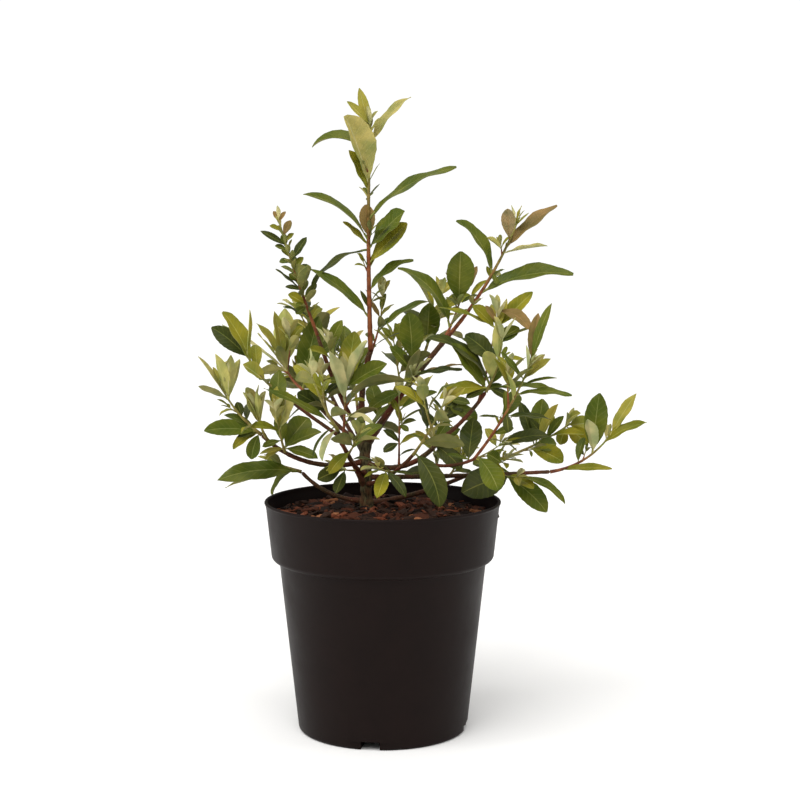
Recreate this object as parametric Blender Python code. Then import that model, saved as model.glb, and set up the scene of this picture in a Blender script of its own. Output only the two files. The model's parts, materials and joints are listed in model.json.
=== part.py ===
"""Potted pussy willow: a young multi-stemmed willow shrub in a plain nursery pot.

Metres, +Z up. The origin is the centre of the pot's flat underside.
Tables are in millimetres and degrees. Headings: 0 is +X, 90 is +Y.
The plant is one trunk, bare boughs, and leafy shoots that grow on from them.
A shoot is one stem with side twigs and leaves, placed by a seeded rule and by
the few leaves that give the crown its outline.
"""

import math
import random
from collections import namedtuple

import bmesh
import bpy
from mathutils import Matrix, Vector
from mathutils.bvhtree import BVHTree

MM = 0.001
GAP = 0.35

# Pot: a thin moulded wall, a wider collar, a rolled lip and four foot channels
POT_HEIGHT = 186.4
FOOT_RADIUS = 67.0
FOOT_BEVEL = 3.0
BODY_TOP_RADIUS = 83.5
COLLAR_BASE = 138.0
COLLAR_SHOULDER = 5.0
COLLAR_RADIUS = 89.8
COLLAR_TOP_RADIUS = 94.2
LIP_RADIUS = 95.2
LIP_HEIGHT = 3.0
WALL = 1.8
FLOOR = 3.0
CHANNEL_WIDTH = 15.0
CHANNEL_HEIGHT = 7.0
CHANNEL_START = 30.0
CHANNEL_TURN = 262.0
DRAIN_RADIUS = 4.0
DRAIN_PLACE = 48.0
POT_SEGMENTS = 48

# Soil: fills the pot to a little below the lip
SOIL_EDGE = 171.0
SOIL_TOP = 175.0
SOIL_FLAT_RADIUS = 34.0

# Trunk: stands on the soil a little off the pot's centre
TRUNK_FOOT = (-13.0, 20.0, SOIL_TOP + GAP)
TRUNK_LENGTH = 57.0
TRUNK_THICK = 8.4
TRUNK_THIN = 6.6
FLARE_THICK = 14.0
FLARE_REACH = 9.0

# Boughs: each one tapering limb that leaves its parent at a share of its length
Bough = namedtuple("Bough", "parent at heading swing rise upturn length thick thin")

BOUGHS = {
    "leader_bough": Bough("trunk", 1.0, 0, 0, 100, -28, 74, 5.2, 4.4),
    "right_bough": Bough("trunk", 0.93, -12, 0, 55, -5, 110, 5.2, 4.0),
    "low_right_bough": Bough("trunk", 0.66, -30, 0, -15, 67, 76, 4.8, 3.6),
    "mid_right_bough": Bough("low_right_bough", 1.0, -22, 0, 36, 20, 57, 3.4, 2.8),
    "outer_right_bough": Bough("low_right_bough", 0.68, -55, 15, -12, 36, 64, 2.8, 2.4),
    "far_right_bough": Bough("trunk", 0.46, 8, 0, -1, 3, 154, 4.2, 3.0),
    "back_right_bough": Bough("trunk", 0.08, 36, -20, 0, 26, 130, 4.4, 3.0),
    "low_left_bough": Bough("trunk", 0.12, 165, 0, -4, 50, 62, 4.0, 3.0),
    "mid_left_bough": Bough("trunk", 0.7, 200, 0, -14, 60, 95, 4.2, 3.2),
    "front_left_bough": Bough("trunk", 0.28, 225, -15, 58, 0, 57, 4.0, 3.2),
    "left_bough": Bough("front_left_bough", 1.0, 200, 0, 34, 6, 57, 3.0, 2.6),
    "upper_left_bough": Bough("trunk", 0.9, 158, 0, 31, 17, 68, 3.8, 2.8),
    "spire_bough": Bough("trunk", 0.97, 172, 0, 59, 14, 95, 4.0, 3.0),
    "front_right_bough": Bough("trunk", 0.36, -64, 10, 10, 28, 82, 3.6, 2.8),
    "front_bough": Bough("trunk", 0.52, 254, 0, 12, 38, 86, 3.6, 2.8),
    "back_left_bough": Bough("trunk", 0.78, 122, 0, 34, 12, 92, 3.8, 2.8),
    "back_bough": Bough("trunk", 0.58, 96, 0, 10, 34, 96, 3.8, 2.8),
    "back_high_bough": Bough("trunk", 0.86, 44, 0, 44, 6, 98, 4.0, 3.0),
}

# Shoots: the leafy ends. leaves and twigs are placed by rule, seen is by eye.
# A seen leaf is (place on the stem, heading, rise, length, arch, roll, width for its length).
Shoot = namedtuple("Shoot", "parent at heading rise upturn length thick leaves longest twigs seen")

SHOOTS = {
    "leader": Shoot("leader_bough", 1.0, 0, 92, -4, 185, 4.2, 0, 34, 0, (
        (0.95, 150, 74, 36, 0, -45, 0.26), (0.98, 200, 42, 26, 0, -60, 0.34),
        (0.72, 195, 76, 58, 12, -72, 0.58), (0.69, 200, 66, 37, 4, -60, 0.4),
        (0.86, 165, 46, 54, 78, -30, 0.3), (0.88, 15, 66, 54, 30, 40, 0.2),
        (0.73, 20, 60, 18, 0, -20, 0.28), (0.67, 340, 46, 14, 0, 0, 0.34),
        (0.48, 197, 60, 68, 50, -25, 0.26), (0.46, 190, 46, 28, 5, -40, 0.3),
        (0.49, 150, 86, 27, 0, -60, 0.5), (0.57, 3, 52, 84, 44, 25, 0.2),
        (0.44, 335, 52, 44, 15, 50, 0.56), (0.38, 350, 48, 45, 5, 45, 0.5),
        (0.26, 8, 56, 45, 40, 30, 0.26), (0.44, 172, -4, 62, 62, -30, 0.16),
        (0.14, 182, 54, 63, 28, -35, 0.22), (0.36, 200, 60, 11, 0, 0, 0.4),
        (0.35, 20, 60, 23, 0, 20, 0.34), (0.18, 170, 64, 17, 0, -40, 0.3))),
    "leader_twin": Shoot("leader_bough", 0.9, 35, 60, 30, 56, 2.0, 4, 22, 0, (
        (0.43, 352, 46, 50, 28, 25, 0.26), (0.16, 5, 40, 29, 32, 0, 0.12),
        (0.71, 20, 76, 16, 0, 20, 0.5), (0.62, 160, 56, 18, 0, -20, 0.36),
        (0.51, 10, 40, 11, 0, 30, 0.4))),
    "right_crown": Shoot("right_bough", 1.0, 0, 49, 20, 112, 3.6, 0, 42, 0, (
        (0.57, 178, 80, 53, 46, -30, 0.36), (0.41, 356, 32, 77, 40, 35, 0.26),
        (0.78, 8, 48, 54, 18, 35, 0.24), (0.74, 338, 12, 37, 5, 10, 0.24),
        (0.84, 262, 36, 46, 8, 0, 0.26), (0.94, 20, 72, 18, 0, 0, 0.3), (0.95, 340, 42, 15, 0, 30, 0.3),
        (0.53, 165, -32, 21, 25, -40, 0.4), (0.73, 150, 108, 10, 0, 0, 0.4),
        (0.40, 190, -10, 16, 30, -30, 0.3), (0.58, 300, -54, 11, 0, 0, 0.5))),
    "right_upright": Shoot("right_bough", 0.95, 30, 56, 20, 54, 2.4, 2, 34, 0, (
        (0.28, 180, 80, 67, 60, -35, 0.28), (0.66, 92, 104, 44, 0, 0, 0.56),
        (0.64, 150, 66, 29, 0, 0, 0.2), (0.77, 40, 56, 30, 0, 20, 0.3))),
    "right_inner": Shoot("right_bough", 0.62, 100, 58, 15, 30, 2.0, 2, 36, 0, (
        (0.47, 185, 90, 41, 8, -80, 0.52), (0.04, 185, 56, 29, 12, -60, 0.42))),
    "right_under": Shoot("right_bough", 0.5, -75, 18, 20, 34, 1.8, 2, 38, 0, (
        (0.66, 190, 16, 50, 48, 40, 0.3), (0.04, 195, -16, 35, 20, -50, 0.34),
        (1.00, 352, 16, 39, 15, 30, 0.2), (1.00, 5, 18, 40, 10, 10, 0.1))),
    "mid_right": Shoot("mid_right_bough", 1.0, -20, 59, 30, 46, 2.4, 1, 38, 0, (
        (0.14, 186, 70, 65, 64, -30, 0.27), (0.04, 195, 56, 47, 6, -60, 0.34),
        (0.07, 192, 12, 41, 42, -60, 0.3), (0.56, 272, 108, 33, 0, 0, 0.28),
        (0.53, 175, 50, 34, 15, -60, 0.5), (0.12, 20, 56, 23, 0, 60, 0.5),
        (0.23, 260, 38, 40, 0, 0, 0.35), (0.27, 272, 64, 20, 0, 0, 0.4),
        (0.05, 352, 10, 48, 14, 35, 0.17), (0.08, 330, -12, 23, 20, 40, 0.34),
        (0.08, 200, -16, 20, 10, -40, 0.4))),
    "mid_right_high": Shoot("mid_right_bough", 0.84, 25, 74, 6, 72, 2.2, 4, 36, 0, (
        (0.82, 186, 30, 47, 18, -20, 0.18), (0.81, 170, 50, 25, 10, -60, 0.5),
        (0.76, 30, 66, 29, 0, 60, 0.28), (0.81, 15, 42, 42, 0, 50, 0.34),
        (1.00, 335, 2, 32, 60, 50, 0.36), (0.64, 8, 30, 25, 0, 60, 0.5),
        (0.88, 200, 60, 16, 10, -60, 0.4), (0.64, 5, 26, 46, 12, 5, 0.17),
        (0.04, 10, 18, 17, 0, 40, 0.4))),
    "mid_right_inner": Shoot("low_right_bough", 0.88, 60, 46, 18, 46, 2.4, 3, 40, 0, (
        (0.63, 190, 52, 24, 25, 0, 0.1), (0.43, 190, 48, 23, 15, -60, 0.36),
        (0.06, 185, 30, 21, 15, -20, 0.26), (0.04, 345, 40, 25, 20, 50, 0.46),
        (0.18, 15, 56, 20, 5, 60, 0.4), (0.76, 190, 48, 17, 0, -30, 0.3),
        (0.70, 30, 46, 19, 0, 30, 0.5), (0.87, 335, -10, 29, 25, 40, 0.5),
        (0.04, 330, -28, 30, 20, 50, 0.5), (0.60, 0, 32, 19, 10, 50, 0.42),
        (1.00, 340, -4, 19, 10, 40, 0.45))),
    "inner_upright": Shoot("low_right_bough", 0.42, 70, 88, 4, 62, 1.8, 2, 22, 0, (
        (0.73, 352, 44, 35, 34, 30, 0.34), (0.31, 180, 60, 17, 40, -50, 0.4),
        (0.14, 0, 42, 15, 40, 30, 0.2), (0.55, 330, -18, 10, 20, 50, 0.5),
        (0.56, 5, 48, 26, 35, 20, 0.14), (0.31, 200, -16, 15, 20, -50, 0.5))),
    "outer_right": Shoot("outer_right_bough", 1.0, -28, 50, 17, 92, 2.6, 4, 40, 1, (
        (0.99, 5, 76, 47, 8, 40, 0.2), (0.99, 60, 74, 38, 0, 20, 0.3), (0.83, 345, 38, 26, 0, 60, 0.36),
        (0.84, 10, 48, 24, 0, 50, 0.42), (0.83, 185, 50, 27, 0, -50, 0.24),
        (0.76, 0, 24, 29, 22, 20, 0.2), (0.68, 352, 18, 43, 38, 30, 0.2),
        (0.04, 335, -40, 32, 30, 60, 0.56), (0.50, 95, 74, 18, 0, 0, 0.25),
        (0.47, 350, 8, 36, 22, 25, 0.2), (0.45, 188, 12, 19, 14, -25, 0.2),
        (0.50, 300, -66, 15, 20, 40, 0.5), (0.28, 350, 18, 17, 0, 40, 0.5))),
    "outer_right_low": Shoot("outer_right_bough", 0.7, 5, 12, 25, 40, 1.8, 1, 32, 0, (
        (0.98, 352, 24, 38, 25, 45, 0.36), (0.88, 200, 56, 18, 0, -75, 0.55),
        (0.92, 350, 16, 23, 12, 40, 0.36), (0.64, 300, -8, 20, 10, 60, 0.6),
        (0.25, 80, 48, 41, 0, 0, 0.46), (0.31, 190, 20, 21, 10, -30, 0.28))),
    "far_right": Shoot("far_right_bough", 1.0, 5, 7, 48, 60, 2.8, 1, 30, 0, (
        (0.64, 40, 82, 51, 0, 40, 0.4), (1.00, 8, 60, 41, 5, 45, 0.28),
        (0.79, 355, 46, 44, 36, 40, 0.26), (0.67, 230, 72, 30, 0, 0, 0.5),
        (0.14, 355, 8, 43, 12, 45, 0.2))),
    "far_right_low": Shoot("far_right_bough", 0.72, -55, -4, 10, 24, 1.8, 1, 34, 0, (
        (1.00, 350, 0, 46, 55, 40, 0.2), (0.33, 335, -24, 46, 28, 55, 0.42),
        (0.65, 222, 2, 55, 20, -60, 0.46))),
    "far_right_inner": Shoot("far_right_bough", 0.45, 60, 30, 10, 26, 1.8, 6, 34, 0, ()),
    "back_right": Shoot("back_right_bough", 1.0, 12, 16, 18, 70, 2.6, 2, 38, 0, (
        (0.48, 60, 70, 40, 0, 20, 0.45), (0.51, 350, 64, 38, 0, 60, 0.36),
        (0.46, 180, 72, 39, 0, -60, 0.34), (0.62, 0, 58, 25, 8, 60, 0.34),
        (0.90, 215, 100, 13, 0, -30, 0.8), (0.90, 325, 42, 20, 0, 30, 0.72),
        (0.95, 350, 6, 19, 0, 60, 0.8), (0.92, 325, -32, 25, 0, 60, 0.7),
        (0.91, 205, -70, 16, 0, -60, 0.7), (0.38, 345, -8, 32, 25, 60, 0.56),
        (0.44, 350, 10, 20, 10, 60, 0.72), (0.41, 340, 22, 10, 0, 0, 0.5),
        (0.62, 190, 50, 22, 0, -50, 0.45))),
    "back_right_low": Shoot("back_right_bough", 0.86, -50, 14, 12, 34, 1.8, 5, 36, 0, ()),
    "back_right_inner": Shoot("back_right_bough", 0.55, 100, 38, 20, 50, 2.0, 5, 38, 0, ()),
    "low_left": Shoot("low_left_bough", 1.0, 180, 20, -4, 24, 2.4, 2, 34, 0, (
        (0.04, 192, 10, 69, 28, -55, 0.27), (0.04, 186, 0, 63, 22, 30, 0.13))),
    "left_tip": Shoot("mid_left_bough", 1.0, 185, 37, 30, 55, 2.6, 2, 38, 0, (
        (0.07, 190, 14, 43, 22, -60, 0.37), (0.10, 175, 40, 29, 28, -30, 0.3),
        (0.70, 180, 56, 42, 0, -20, 0.22), (0.71, 245, 66, 41, 0, 0, 0.32),
        (0.70, 285, 70, 39, 0, 0, 0.26), (0.71, 320, 68, 35, 0, -20, 0.3),
        (0.04, 190, -6, 25, 50, -50, 0.38), (0.04, 215, -56, 22, 30, -60, 0.55),
        (0.70, 275, 70, 33, 0, 0, 0.28), (0.38, 150, 68, 13, 0, -40, 0.6),
        (0.07, 200, -4, 17, 15, -40, 0.4))),
    "left_inner": Shoot("mid_left_bough", 0.74, 256, 46, 25, 44, 2.0, 3, 38, 0, (
        (0.55, 345, 78, 32, 4, 60, 0.85), (0.58, 205, 78, 28, 0, -60, 0.42),
        (0.57, 330, 60, 33, 0, -40, 0.2), (0.91, 95, 70, 36, 0, 0, 0.4),
        (0.07, 5, 36, 33, 25, 40, 0.42), (0.10, 40, 48, 34, 12, 40, 0.6),
        (0.04, 350, -4, 29, 20, 50, 0.36), (0.04, 190, 0, 21, 15, -40, 0.24),
        (0.04, 200, -18, 18, 20, -40, 0.3), (0.33, 190, -12, 16, 10, -40, 0.45))),
    "left_front": Shoot("mid_left_bough", 0.93, 232, 52, 25, 34, 2.0, 2, 36, 0, (
        (0.46, 195, 70, 32, 0, -65, 0.46), (0.48, 265, 64, 30, 0, 0, 0.22),
        (0.45, 200, 62, 30, 0, -40, 0.36), (0.48, 330, 78, 27, 0, 55, 0.5))),
    "left_crown": Shoot("left_bough", 1.0, 190, 32, 41, 50, 2.6, 3, 34, 1, (
        (0.67, 180, 70, 47, 15, -35, 0.38), (0.76, 172, 48, 39, 15, -70, 0.4),
        (0.83, 100, 128, 46, 0, 60, 0.16), (0.29, 200, 38, 24, 0, -50, 0.65))),
    "front_upright": Shoot("front_left_bough", 0.8, 292, 78, 8, 62, 2.6, 2, 34, 0, (
        (0.58, 250, 56, 53, 0, -10, 0.27), (0.74, 80, 50, 61, 5, 0, 0.32),
        (0.77, 320, 62, 45, 5, -20, 0.3), (0.77, 350, 38, 39, 15, 60, 0.44),
        (0.39, 320, 6, 32, 30, -60, 0.3))),
    "front_low": Shoot("front_left_bough", 0.35, 232, 5, 10, 24, 1.6, 1, 30, 0, (
        (0.04, 330, -16, 27, 20, 60, 0.5), (0.78, 215, -10, 24, 8, -60, 0.5),
        (0.62, 250, -40, 24, 5, 0, 0.45))),
    "upper_left": Shoot("upper_left_bough", 1.0, 150, 22, 72, 48, 2.6, 3, 36, 1, (
        (0.53, 186, 40, 66, 8, 0, 0.13), (0.63, 272, 128, 57, 0, 0, 0.42),
        (0.08, 15, 82, 62, 10, 70, 0.34), (0.72, 185, 82, 42, 5, -60, 0.26),
        (0.62, 183, 62, 43, 8, -50, 0.24), (0.57, 182, 52, 38, 0, 10, 0.12),
        (0.53, 200, 10, 26, 30, 60, 0.45))),
    "upper_left_inner": Shoot("upper_left_bough", 0.6, 262, 42, 25, 46, 2.0, 4, 36, 0, (
        (0.12, 190, 38, 29, 10, -70, 0.55), (0.91, 200, 42, 16, 0, -30, 0.5),
        (0.91, 140, 58, 15, 0, 0, 0.5), (0.83, 350, 14, 15, 15, 45, 0.5),
        (0.31, 200, 40, 17, 0, -50, 0.5), (0.55, 10, 44, 14, 10, 50, 0.5))),
    "spire": Shoot("spire_bough", 1.0, 175, 69, 5, 100, 2.8, 30, 17, 1, (
        (0.77, 180, 32, 24, 5, -40, 0.34), (0.64, 0, 56, 23, 0, 50, 0.4),
        (0.40, 182, 40, 26, 0, -20, 0.22), (0.39, 300, 48, 27, 0, 30, 0.55),
        (0.40, 250, 80, 21, 0, 0, 0.7), (0.15, 185, 34, 25, 20, -20, 0.22),
        (0.27, 200, 30, 17, 0, -60, 0.6), (0.20, 10, 44, 12, 0, 10, 0.25),
        (0.85, 10, 64, 14, 0, 50, 0.55), (0.46, 190, 42, 10, 0, -50, 0.75),
        (0.56, 10, 56, 13, 0, 40, 0.65), (0.89, 185, 24, 11, 0, -40, 0.6),
        (0.73, 185, 24, 11, 10, -40, 0.62), (0.63, 190, 6, 10, 10, -40, 0.7),
        (0.32, 5, 46, 16, 0, 40, 0.45), (0.25, 200, -22, 11, 20, -40, 0.7),
        (0.97, 160, 60, 10, 0, -40, 0.5), (0.97, 20, 56, 10, 0, 40, 0.5),
        (0.80, 10, 46, 10, 0, 40, 0.6), (0.77, 150, 70, 10, 0, -50, 0.6), (0.54, 0, 26, 13, 0, 50, 0.6))),
    "spire_side": Shoot("spire_bough", 0.5, 245, 55, 28, 44, 1.9, 7, 32, 0, (
        (0.82, 5, 80, 27, 25, 70, 0.4),)),
    "front_right": Shoot("front_right_bough", 1.0, -50, 44, 14, 58, 2.4, 4, 42, 1, (
        (0.04, 325, -36, 48, 45, 60, 0.42),)),
    "front_right_low": Shoot("front_right_bough", 0.62, -112, 8, 10, 34, 1.8, 3, 38, 0, (
        (0.16, 345, 10, 20, 25, 20, 0.26), (0.54, 325, -30, 27, 30, 50, 0.3))),
    "front_left": Shoot("front_bough", 1.0, 238, 44, 18, 62, 2.4, 3, 42, 1, (
        (0.07, 190, 40, 64, 22, -50, 0.11), (0.04, 215, -46, 28, 30, 60, 0.36),
        (0.08, 200, -22, 31, 60, -10, 0.14))),
    "front_left_low": Shoot("front_bough", 0.62, 292, 30, 14, 34, 1.8, 4, 36, 0, (
        (0.04, 215, -26, 25, 25, -60, 0.42),)),
    "back_left": Shoot("back_left_bough", 1.0, 118, 52, 14, 66, 2.6, 14, 42, 3, ()),
    "back_left_side": Shoot("back_left_bough", 0.66, 165, 24, 18, 44, 2.0, 9, 38, 1, ()),
    "back": Shoot("back_bough", 1.0, 100, 42, 20, 58, 2.6, 13, 42, 2, ()),
    "back_side": Shoot("back_bough", 0.6, 35, 34, 14, 48, 2.0, 6, 40, 0, ()),
    "back_high": Shoot("back_high_bough", 1.0, 55, 58, 10, 62, 2.6, 10, 42, 2, (
        (0.18, 92, 128, 46, 0, 0, 0.46),)),
    "back_high_side": Shoot("back_high_bough", 0.62, 105, 50, 14, 54, 2.0, 6, 38, 1, ()),
}

# The rule that every shoot grows by
STEPS = 24
LEAF_TURN = 137.5
LONG_LEAF = 38.0
LEAF_ROLL = 60.0
LEAF_WIDTH = 0.36
LEAF_THICK = 0.022
LEAF_LEAST_THICK = 0.7
ROOT_SUNK = 0.8
LEAF_FOLD = 0.16
LOW_LIFT, TIP_LIFT = 66.0, 24.0
LOW_ARCH, TIP_ARCH = 36.0, 12.0
LIGHT_PULL = 0.30
BARE_SHARE = 0.16
SIDE_TWIG = (20.0, 32.0)
SIDE_TWIG_LEAVES = 5
LEAF_CLEAR = 0.5
BARE_STALK = 0.4
SUNK_STALK = 0.1
STEM_ROOT = 0.03
TURNS = ((0, 1), (24, 1), (-24, 1), (45, 0.85), (-45, 0.85))
SEEN_TURNS = ((0, 1), (9, 1), (-9, 1), (18, 1), (-18, 1), (27, 0.95), (-27, 0.95), (0, 0.8))
CLEAR = 0.8

PALETTE = {
    "pot": ("#262120", 0.42), "soil": ("#5b3323", 0.95), "bark": ("#5a4638", 0.8),
    "young_bark": ("#7b4030", 0.6), "leaf": ("#4f6a2c", 0.5),
}


def srgb(code):
    channels = [int(code[i:i + 2], 16) / 255 for i in (1, 3, 5)]
    return [c / 12.92 if c <= 0.04045 else ((c + 0.055) / 1.055) ** 2.4 for c in channels]


def material(name):
    code, roughness = PALETTE[name]
    mat = bpy.data.materials.get(name) or bpy.data.materials.new(name)
    mat.use_nodes = True
    shader = mat.node_tree.nodes["Principled BSDF"]
    shader.inputs["Base Color"].default_value = (*srgb(code), 1)
    shader.inputs["Roughness"].default_value = roughness
    mat.diffuse_color = (*srgb(code), 1)
    return mat


def add_object(name, bm, mat_name, collection=None):
    bmesh.ops.recalc_face_normals(bm, faces=bm.faces)
    mesh = bpy.data.meshes.new(name)
    bm.to_mesh(mesh)
    bm.free()
    mesh.materials.append(material(mat_name))
    obj = bpy.data.objects.new(name, mesh)
    (collection or bpy.context.scene.collection).objects.link(obj)
    return obj


def boolean(target, operation, tool):
    mod = target.modifiers.new(operation.lower(), "BOOLEAN")
    mod.operation = operation
    if isinstance(tool, bpy.types.Collection):
        mod.operand_type = "COLLECTION"
        mod.collection = tool
    else:
        mod.object = tool
    return mod


def direction(heading, rise):
    h, r = math.radians(heading), math.radians(rise)
    return Vector((math.cos(r) * math.cos(h), math.cos(r) * math.sin(h), math.sin(r)))


def bearing(way):
    """Heading and rise of a direction, in degrees."""
    way = way.normalized()
    return math.degrees(math.atan2(way.y, way.x)), math.degrees(math.asin(way.z))


# Limbs

class Path:
    """A curved centreline from its root, turning by swing and upturn along its length."""

    def __init__(self, start, heading, swing, rise, upturn, length):
        self.length = length
        self.points = [Vector(start)]
        for i in range(STEPS):
            t = (i + 0.5) / STEPS
            step = direction(heading + swing * t, rise + upturn * t) * (length / STEPS)
            self.points.append(self.points[-1] + step)

    def at(self, share):
        k = min(max(share, 0.0), 1.0) * STEPS
        i = min(int(k), STEPS - 1)
        return self.points[i].lerp(self.points[i + 1], k - i)

    def along(self, share):
        i = min(int(min(max(share, 0.0), 1.0) * STEPS), STEPS - 1)
        return (self.points[i + 1] - self.points[i]).normalized()


class Limb:
    """A tapering round limb. It starts clear of its parent by GAP."""

    def __init__(self, path, thick, thin, parent=None, at=0.0):
        self.path, self.thick, self.thin, self.first = path, thick, thin, 0.0
        if parent is None:
            return
        lean = max(parent.path.along(at).angle(path.along(0.0)), math.radians(22))
        radius = thick / 2
        lower = max(at - radius / parent.path.length, 0.0)
        if at >= 1.0:
            lean = min(parent.path.along(at).angle(path.along(0.0)), math.radians(65))
            start = (GAP + radius * math.sin(lean)) / math.cos(lean)
        else:
            start = (parent.radius(lower) + GAP + radius * abs(math.cos(lean))) / math.sin(lean)
        self.first = start / path.length

    def radius(self, share):
        return (self.thick + (self.thin - self.thick) * share) / 2

    def sections(self, count):
        for i in range(count):
            share = self.first + (1.0 - self.first) * i / (count - 1)
            yield self.path.at(share), self.path.along(share), self.radius(share)


def across(along):
    side = Vector((0, 0, 1)).cross(along)
    if side.length < 0.05:
        side = Vector((0, 1, 0)).cross(along)
    return side.normalized()


def skin(bm, rings, root=None, tip=None):
    """Faces over rings of points, closed flat or brought to a point at each end."""
    rings = [[bm.verts.new(p * MM) for p in ring] for ring in rings]
    count = len(rings[0])
    for low, high in zip(rings, rings[1:]):
        for i in range(count):
            j = (i + 1) % count
            bm.faces.new((low[i], low[j], high[j], high[i]))
    for ring, point in ((rings[0], root), (rings[-1], tip)):
        if point is None:
            bm.faces.new(ring)
            continue
        end = bm.verts.new(point * MM)
        for i in range(count):
            bm.faces.new((ring[i], ring[(i + 1) % count], end))


def limb_mesh(limb, count, sides):
    bm = bmesh.new()
    rings = []
    side = across(limb.path.along(limb.first))
    for centre, along, radius in limb.sections(count):
        side = (side - along * side.dot(along)).normalized()
        up = along.cross(side)
        turn = [2 * math.pi * k / sides for k in range(sides)]
        rings.append([centre + (side * math.cos(a) + up * math.sin(a)) * radius for a in turn])
    skin(bm, rings)
    return bm


# Leaves

Leaf = namedtuple("Leaf", "base heading rise length arch roll width")


def leaf_sections(leaf, fat=0.0):
    """Sunk root, wide sections and tip of one folded lance-shaped blade."""
    shares, widths = (0.58,), (1.0,)
    if leaf.length > LONG_LEAF:
        shares, widths = (0.30, 0.74), (0.80, 0.82)
    centre, last = Vector(leaf.base), 0.0
    rings = []
    for share, width in zip(shares + (1.0,), widths + (0.0,)):
        along = direction(leaf.heading, leaf.rise - leaf.arch * (share + last) / 2)
        centre = centre + along * leaf.length * (share - last)
        last = share
        here = direction(leaf.heading, leaf.rise - leaf.arch * share)
        side = direction(leaf.heading + 90, 0)
        turn = Matrix.Rotation(math.radians(leaf.roll), 3, here)
        side, up = turn @ side, turn @ here.cross(side)
        half = leaf.length * leaf.width * width / 2 + fat
        thick = max(leaf.length * LEAF_THICK, LEAF_LEAST_THICK) + fat
        lift = half * LEAF_FOLD * 2
        rings.append((centre + side * half + up * lift, centre - side * half + up * lift,
                      centre - up * thick))
    root = Vector(leaf.base) - direction(leaf.heading, leaf.rise) * ROOT_SUNK
    return root, rings[:-1], centre


def leaf_mesh(leaf):
    bm = bmesh.new()
    root, rings, tip = leaf_sections(leaf)
    skin(bm, rings, root, tip)
    return bm


def blade_tree(leaf, bare):
    """Search tree of a leaf less a share of its stalk, a little fatter than it is."""
    root, rings, tip = leaf_sections(leaf, LEAF_CLEAR)
    bm = bmesh.new()
    stalk_end = [root.lerp(p, bare) for p in rings[0]]
    skin(bm, [stalk_end] + rings, None, tip)
    return bmesh_tree(bm)


class Tree:
    """A search tree with its box, for quick tests of touching."""

    def __init__(self, points, faces):
        self.low = Vector([min(p[i] for p in points) for i in range(3)])
        self.high = Vector([max(p[i] for p in points) for i in range(3)])
        self.bvh = BVHTree.FromPolygons(points, faces)

    def touches(self, other):
        if any(self.low[i] > other.high[i] or other.low[i] > self.high[i] for i in range(3)):
            return False
        return bool(self.bvh.overlap(other.bvh))


def bmesh_tree(bm):
    bm.verts.index_update()
    points = [v.co / MM for v in bm.verts]
    faces = [tuple(v.index for v in f.verts) for f in bm.faces]
    bm.free()
    return Tree(points, faces)


def object_tree(obj):
    bm = bmesh.new()
    bm.from_object(obj, bpy.context.evaluated_depsgraph_get())
    return bmesh_tree(bm)


def limb_tree(limb, count=7):
    return bmesh_tree(limb_mesh(limb, count, 4))


# Pot and soil

def spin_solid(profile, segments):
    bm = bmesh.new()
    verts = [bm.verts.new((r * MM, 0, z * MM)) for r, z in profile]
    edges = [bm.edges.new(pair) for pair in zip(verts, verts[1:])]
    bmesh.ops.spin(bm, geom=verts + edges, cent=(0, 0, 0), axis=(0, 0, 1),
                   angle=2 * math.pi, steps=segments, use_merge=True)
    bmesh.ops.remove_doubles(bm, verts=bm.verts, dist=0.01 * MM)
    return bm


def box_at(bm, low, high, turn):
    size = Vector(high) - Vector(low)
    centre = (Vector(high) + Vector(low)) / 2
    place = Matrix.Rotation(math.radians(turn), 4, "Z") @ Matrix.Translation(centre * MM)
    bmesh.ops.create_cube(bm, size=1.0, matrix=place @ Matrix.Diagonal((*(size * MM), 1)))


def channels(extra, start, end):
    """The four foot channels' boxes, grown by extra on their sides and top."""
    bm = bmesh.new()
    for k in range(4):
        half = CHANNEL_WIDTH / 2 + extra
        low = (start, -half, -5.0 if extra <= 0 else 0.5)
        box_at(bm, low, (end, half, CHANNEL_HEIGHT + extra), CHANNEL_TURN + 90 * k)
    return bm


def outer_radius(z):
    share = (z - FOOT_BEVEL) / (COLLAR_BASE - FOOT_BEVEL)
    return FOOT_RADIUS + 1.8 + (BODY_TOP_RADIUS - FOOT_RADIUS - 1.8) * share


def pot_outline():
    """Outer wall up from the foot, over the lip, then down the inner wall."""
    shoulder_top = COLLAR_BASE + COLLAR_SHOULDER
    lip_base = POT_HEIGHT - LIP_HEIGHT
    outer = [(0.0, 0.0), (CHANNEL_START - 4, 0.0), (FOOT_RADIUS, 0.0),
             (outer_radius(FOOT_BEVEL), FOOT_BEVEL), (BODY_TOP_RADIUS, COLLAR_BASE)]
    for k in (1, 2, 3):
        a = math.radians(30 * k)
        outer.append((BODY_TOP_RADIUS + (COLLAR_RADIUS - BODY_TOP_RADIUS) * math.sin(a),
                      shoulder_top - COLLAR_SHOULDER * math.cos(a)))
    outer += [(COLLAR_TOP_RADIUS, lip_base), (LIP_RADIUS, lip_base + 0.8),
              (LIP_RADIUS, POT_HEIGHT - 0.8), (LIP_RADIUS - 0.8, POT_HEIGHT)]
    inner = [(COLLAR_TOP_RADIUS - WALL, POT_HEIGHT), (COLLAR_RADIUS - WALL, shoulder_top + WALL),
             (BODY_TOP_RADIUS - WALL, shoulder_top - WALL),
             (outer_radius(FLOOR) - WALL, FLOOR), (0.0, FLOOR)]
    return outer + inner


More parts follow.
